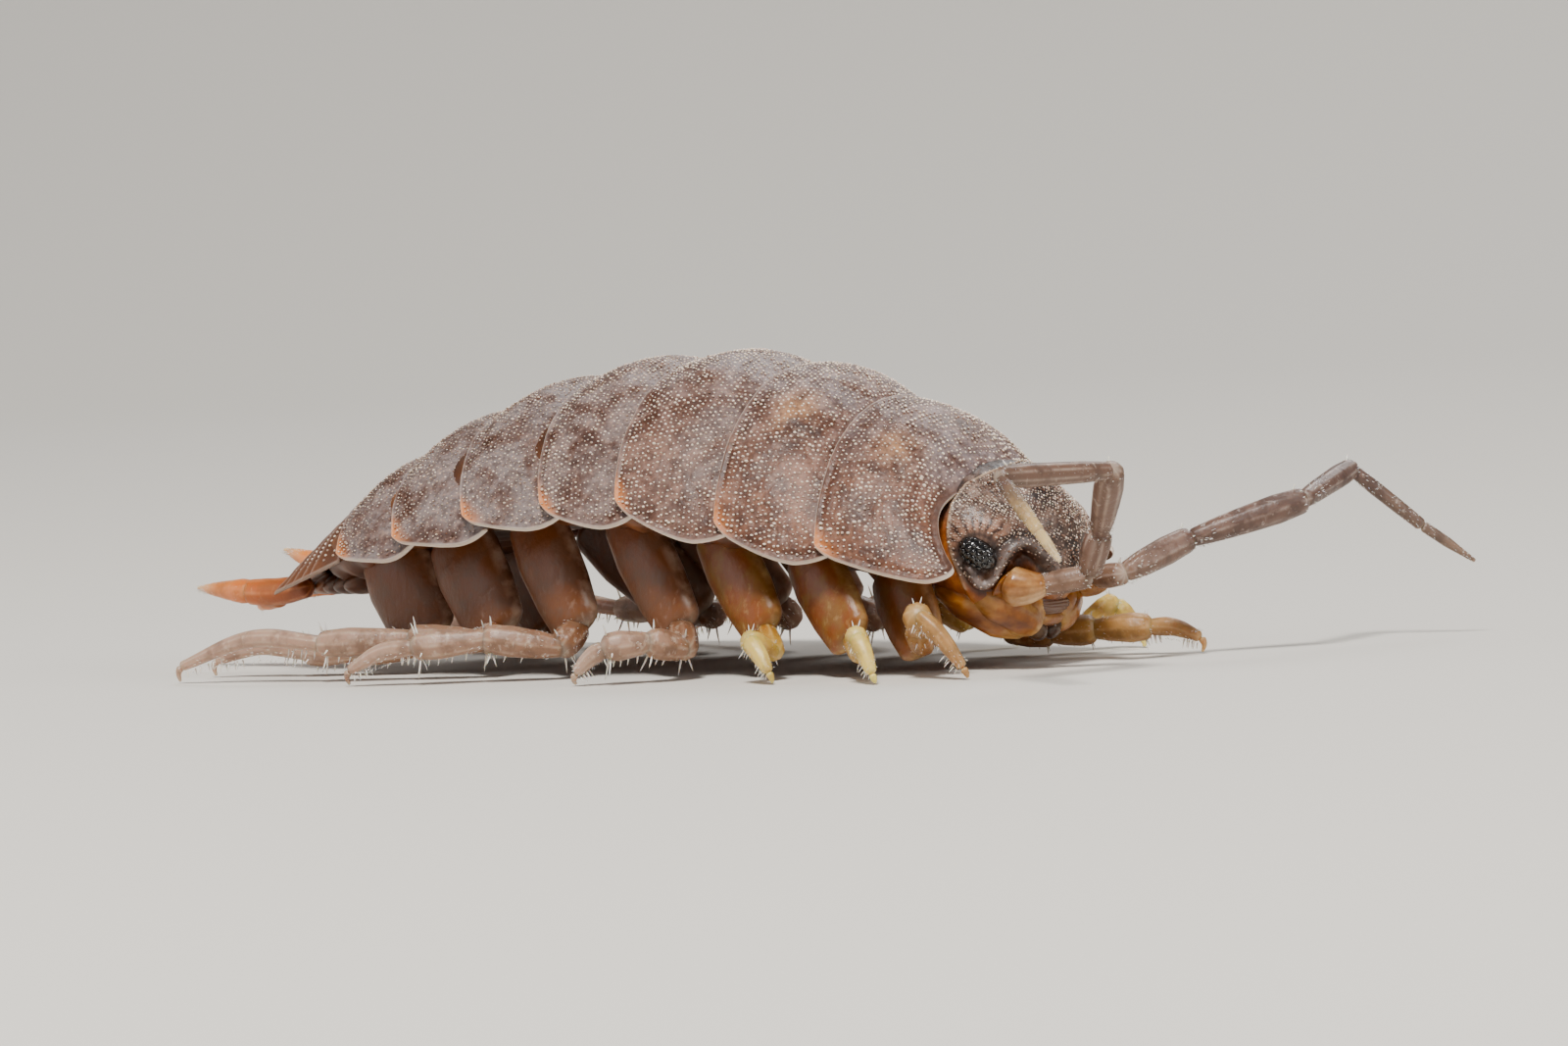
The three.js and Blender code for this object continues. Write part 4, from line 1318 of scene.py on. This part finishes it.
# Point of a tail plate, a vault in steps: t runs along it, q across; pointed draws its corner back.
def tailPoint(number, t, q, pointed):
    along = (number + t) / pleon["count"]
    sweep = pleon["sweep"] * along * q**4 + pointed * smooth(0.75, 1.0, np.abs(q)) * t
    back = pleonFront - (number + t) * pleon["segmentLength"]
    step = pleon["step"] * (1 - t)
    halfWidth = pleon["halfWidth"] - number * pleon["narrowing"] - step + 0.04
    edge = mix(pleon["frontEdge"], pleon["rearEdge"], along) + 0.16 * (1 - t)
    top = backHeight(back) - pleon["lowering"] - step + 0.03 * np.sin(t * math.pi)
    y, z = vault(q, halfWidth, edge, top)
    return np.stack([back + (1 - t) * pleon["overlap"] - sweep, y, z], -1)


def addTailPlates():
    piece = Piece()
    for number in range(pleon["count"]):
        t = np.sin(np.linspace(0, 1, pleon["rows"]) * math.pi / 2)[:, None]
        q = np.sin(np.linspace(-1, 1, pleon["columns"]) * math.pi / 2)[None, :]
        t, q = np.broadcast_arrays(t, q)
        side = np.abs(q)
        points = tailPoint(number, t, q, 0.1)
        normals = unit(np.cross(-np.gradient(points, axis=0), np.gradient(points, axis=1)))
        front, rear, sides = sheetMargins(points)
        border = np.minimum(np.minimum(rear, front), sides)
        rim = bell(np.minimum(rear, sides) - 0.03, 0.025)
        relief = rim * 0.02 + reliefWaves.at(points) * 0.008
        margins = np.sqrt(rear**2 + sides**2)
        values = {
            "rim": 0.4 * bell(np.minimum(rear, sides), 0.035),
            "across": side,
            "corner": 0.6 - 0.6 * smooth(0.1, 0.5, margins),
            "mark": 0.6 * bell(side - 0.35, 0.1),
            # Painted shade where each tail plate comes out from under the plate ahead.
            "front": bell(t - 0.35, 0.2),
            "dusk": smooth(0.3, 0.9, side),
        }
        addShell(piece, points + normals * relief[..., None], normals, border, 0.09, 0.05, **values)
    piece.build("tailPlates", looks["shell"], ["pleon"], "shell")


telson = {"front": -6.95, "tip": -7.95, "halfWidth": 1.1, "height": 1.86, "tipHeight": 1.5, "thickness": 0.3}


# The tail tip: a triangle with hollow sides and a groove towards its narrow end.
def addTelson():
    v, q = np.meshgrid(np.linspace(0, 1, 50), np.sin(np.linspace(-1, 1, 60) * math.pi / 2), indexing="ij")
    x = mix(telson["front"], telson["tip"], v)
    halfWidth = mix(telson["halfWidth"], 0.06, np.sin(v * math.pi / 2) ** 1.15)
    groove = 0.05 * bell(q, 0.35) * smooth(0.4, 0.9, v)
    z = mix(telson["height"], telson["tipHeight"], v) + 0.16 * (1 - q * q) * (1 - v) - groove
    points = np.stack([x, q * halfWidth, z], -1)
    normals = unit(np.cross(-np.gradient(points, axis=0), np.gradient(points, axis=1)))
    border = np.minimum((1 - np.abs(q)) * halfWidth, np.minimum(v, 1 - v) * (telson["front"] - telson["tip"]))
    values = {
        "rim": 0.3 * bell(border, 0.03),
        "across": np.abs(q) * 0.4,
        "corner": smooth(0.6, 1.0, v) * 0.5,
        "dusk": np.ones_like(v),
    }
    piece = Piece()
    addShell(piece, points, normals, border, telson["thickness"], 0.08, **values)
    piece.build("tailTip", looks["shell"], ["telson"], "shell")


# Grains of the tail: two rows on each plate.
def addTailGrains():
    places, normals = [], []
    for number in range(pleon["count"]):
        for share in (0.35, 0.72):
            q = np.linspace(-0.9, 0.9, 44)
            places.append(tailPoint(number, np.full_like(q, share), q, 0.0))
            normals.append(unit(np.stack([0 * q - 0.25, np.sin(q * archAngle), np.cos(q * archAngle)], -1)))
    places, normals = np.concatenate(places), np.concatenate(normals)
    piece = Piece()
    # The tone is partly the grains' own pale colour, partly painted highlight.
    tone = np.clip(random.normal(0.6, 0.25, len(places)), 0, 1)
    ways = np.broadcast_to([1.0, 0, 0], places.shape)
    addGrains(piece, places, normals, ways, 0.026, 0.024, 1.3, tone=tone)
    piece.build("tailGrains", looks["grain"], (), "shell")


# Gill covers under the tail: five pairs of thin overlapping leaves.
def addGills():
    piece = Piece()
    for number in range(pleon["count"]):
        for side in (-1, 1):
            share = number / pleon["count"]
            at = np.array([-6.0 - number * 0.29, side * (0.66 - 0.05 * number), mix(1.5, 1.4, share)])
            radii = np.array([0.44, 0.66 - 0.06 * number, 0.24 - 0.02 * number])
            ball = ballWays(24, 48)
            grid = at + ball * radii
            grid[..., 2] += (grid[..., 0] - at[0]) * 0.3
            addTube(piece, grid, at - [0, 0, radii[2]], at + [0, 0, radii[2]])
    piece.build("gillCovers", looks["skin"], (), "leg")


uropods = {
    "right": [[-7.75, -1.1, 1.3], [-8.3, -1.1, 1.3], [-9.54, -0.98, 1.36]],
    "left": [[-7.75, 1.1, 1.42], [-8.3, 1.15, 1.55], [-9.36, 1.2, 1.86]],
}


def addUropod(side, joints):
    skin, hairs = Piece(), Piece()
    joints = np.array(joints)
    root = [joints[0] + [0.75, 0, 0.1], joints[0], joints[1] - [0.1, 0, 0]]
    addHose(skin, root, [0.18, 0.23, 0.24, 0.21], 1.0, 6, 0.02, (0, 0.35), 0.02)
    blade = [joints[1] + [0.12, 0, 0], mix(joints[1], joints[2], 0.4), joints[2]]
    addHose(skin, blade, [0.19, 0.225, 0.18, 0.12, 0.03], 1.0, 2, 0.06, (0.35, 1.0), 0.02)
    inner = np.array([-8.5, math.copysign(0.6, joints[0][1]), joints[0][2] - 0.3])
    branch = [joints[0] + [0.1, 0, -0.1], mix(joints[0], inner, 0.5), inner]
    addHose(skin, branch, [0.17, 0.19, 0.06], 1.0, 2, 0.05, (0.2, 0.95))
    addHairs(hairs, joints[1], joints[2], (0.21, 0.03), 380, 0.06)
    addHairs(hairs, joints[0], inner, (0.18, 0.06), 80, 0.05)
    skin.build(f"uropodSkin_{side}", looks["tail"], [f"uropod_{side}"], "tail")
    hairs.build(f"uropodHairs_{side}", looks["spine"], (), "tail")


addTailPlates()
addTailGrains()
addTelson()
addGills()
for uropodSide, uropodJoints in uropods.items():
    addUropod(uropodSide, uropodJoints)
print("tail done")

# Stage: a pale floor that curves up behind, soft lights and the photograph's view.
camera = {"azimuth": 35.0, "elevation": 3.0, "roll": 2.5, "distance": 150.0, "pixelsPerMm": 62.0}
aim = {"target": [0.0, 0.0, 2.35], "pixel": [700.0, 533.0]}
picture = {"width": 1600.0, "height": 1067.0}


def addCamera():
    a, e, r = (math.radians(camera[key]) for key in ("azimuth", "elevation", "roll"))
    back = np.array([math.sin(a) * math.cos(e), -math.cos(a) * math.cos(e), math.sin(e)])
    level = np.array([math.cos(a), math.sin(a), 0.0])
    upright = np.cross(back, level)
    right = math.cos(r) * level - math.sin(r) * upright
    up = math.sin(r) * level + math.cos(r) * upright
    offRight = (aim["pixel"][0] - picture["width"] / 2) / camera["pixelsPerMm"]
    offUp = -(aim["pixel"][1] - picture["height"] / 2) / camera["pixelsPerMm"]
    place = np.array(aim["target"]) + back * camera["distance"] - right * offRight - up * offUp
    data = bpy.data.cameras.new("camera")
    data.sensor_width = 36.0
    data.lens = 36.0 * camera["pixelsPerMm"] * camera["distance"] / picture["width"]
    data.clip_start, data.clip_end = 0.01, 10.0
    thing = addObject("camera", data)
    turned = Matrix([[*row] for row in np.stack([right, up, back], 1)]).to_4x4()
    thing.matrix_world = Matrix.Translation(Vector((place + shift) * millimetre)) @ turned
    bpy.context.scene.camera = thing


def addStage():
    look = Look("floor")
    look.finish(Base_Color=colour(222, 217, 208), Roughness=0.8)
    across = np.linspace(-0.5, 0.5, 3)
    depth = np.concatenate([[-0.5], np.linspace(0.12, 0.32, 24), [0.33]])
    rise = np.where(depth > 0.12, 0.2 - np.sqrt(np.maximum(0, 0.04 - (depth - 0.12) ** 2)), 0)
    rise[-1] = 0.6
    y, x = np.meshgrid(depth, across, indexing="ij")
    z = np.repeat(rise[:, None], len(across), 1)
    a = math.radians(camera["azimuth"])
    points = np.stack([x * math.cos(a) - y * math.sin(a), x * math.sin(a) + y * math.cos(a), z], -1)
    mesh = bpy.data.meshes.new("floor")
    mesh.from_pydata(points.reshape(-1, 3).tolist(), [], gridQuads(len(depth), len(across))[:, ::-1].tolist())
    mesh.materials.append(look.material)
    mesh.update()
    if mesh.polygons[0].normal.z < 0:
        mesh.flip_normals()
    mesh.polygons.foreach_set("use_smooth", [True] * len(mesh.polygons))
    floor = addObject("floor", mesh)


lights = {
    "key": {"at": [0.05, -0.1, 0.17], "size": 0.045, "power": 0.56, "tint": (1.0, 0.98, 0.95)},
    "fill": {"at": [-0.16, -0.12, 0.08], "size": 0.14, "power": 0.09, "tint": (0.94, 0.97, 1.0)},
    "front": {"at": [0.2, 0.02, 0.09], "size": 0.08, "power": 0.12, "tint": (1.0, 0.99, 0.97)},
    "rear": {"at": [-0.04, 0.16, 0.16], "size": 0.12, "power": 0.2, "tint": (1.0, 1.0, 1.0)},
}


def addLights():
    for name, light in lights.items():
        data = bpy.data.lights.new(name, "AREA")
        data.shape = "DISK"
        data.size = light["size"]
        data.energy = light["power"]
        data.color = light["tint"]
        thing = addObject(name, data)
        thing.location = light["at"]
        away = Vector(light["at"]) - Vector((0, 0, 0.003))
        thing.rotation_euler = away.to_track_quat("Z", "Y").to_euler()
    world = bpy.data.worlds.new("world")
    world.use_nodes = True
    world.node_tree.nodes["Background"].inputs["Color"].default_value = (0.9, 0.93, 1.0, 1)
    world.node_tree.nodes["Background"].inputs["Strength"].default_value = 0.19
    bpy.context.scene.world = world


addStage()
addLights()
addCamera()
print("stage done")
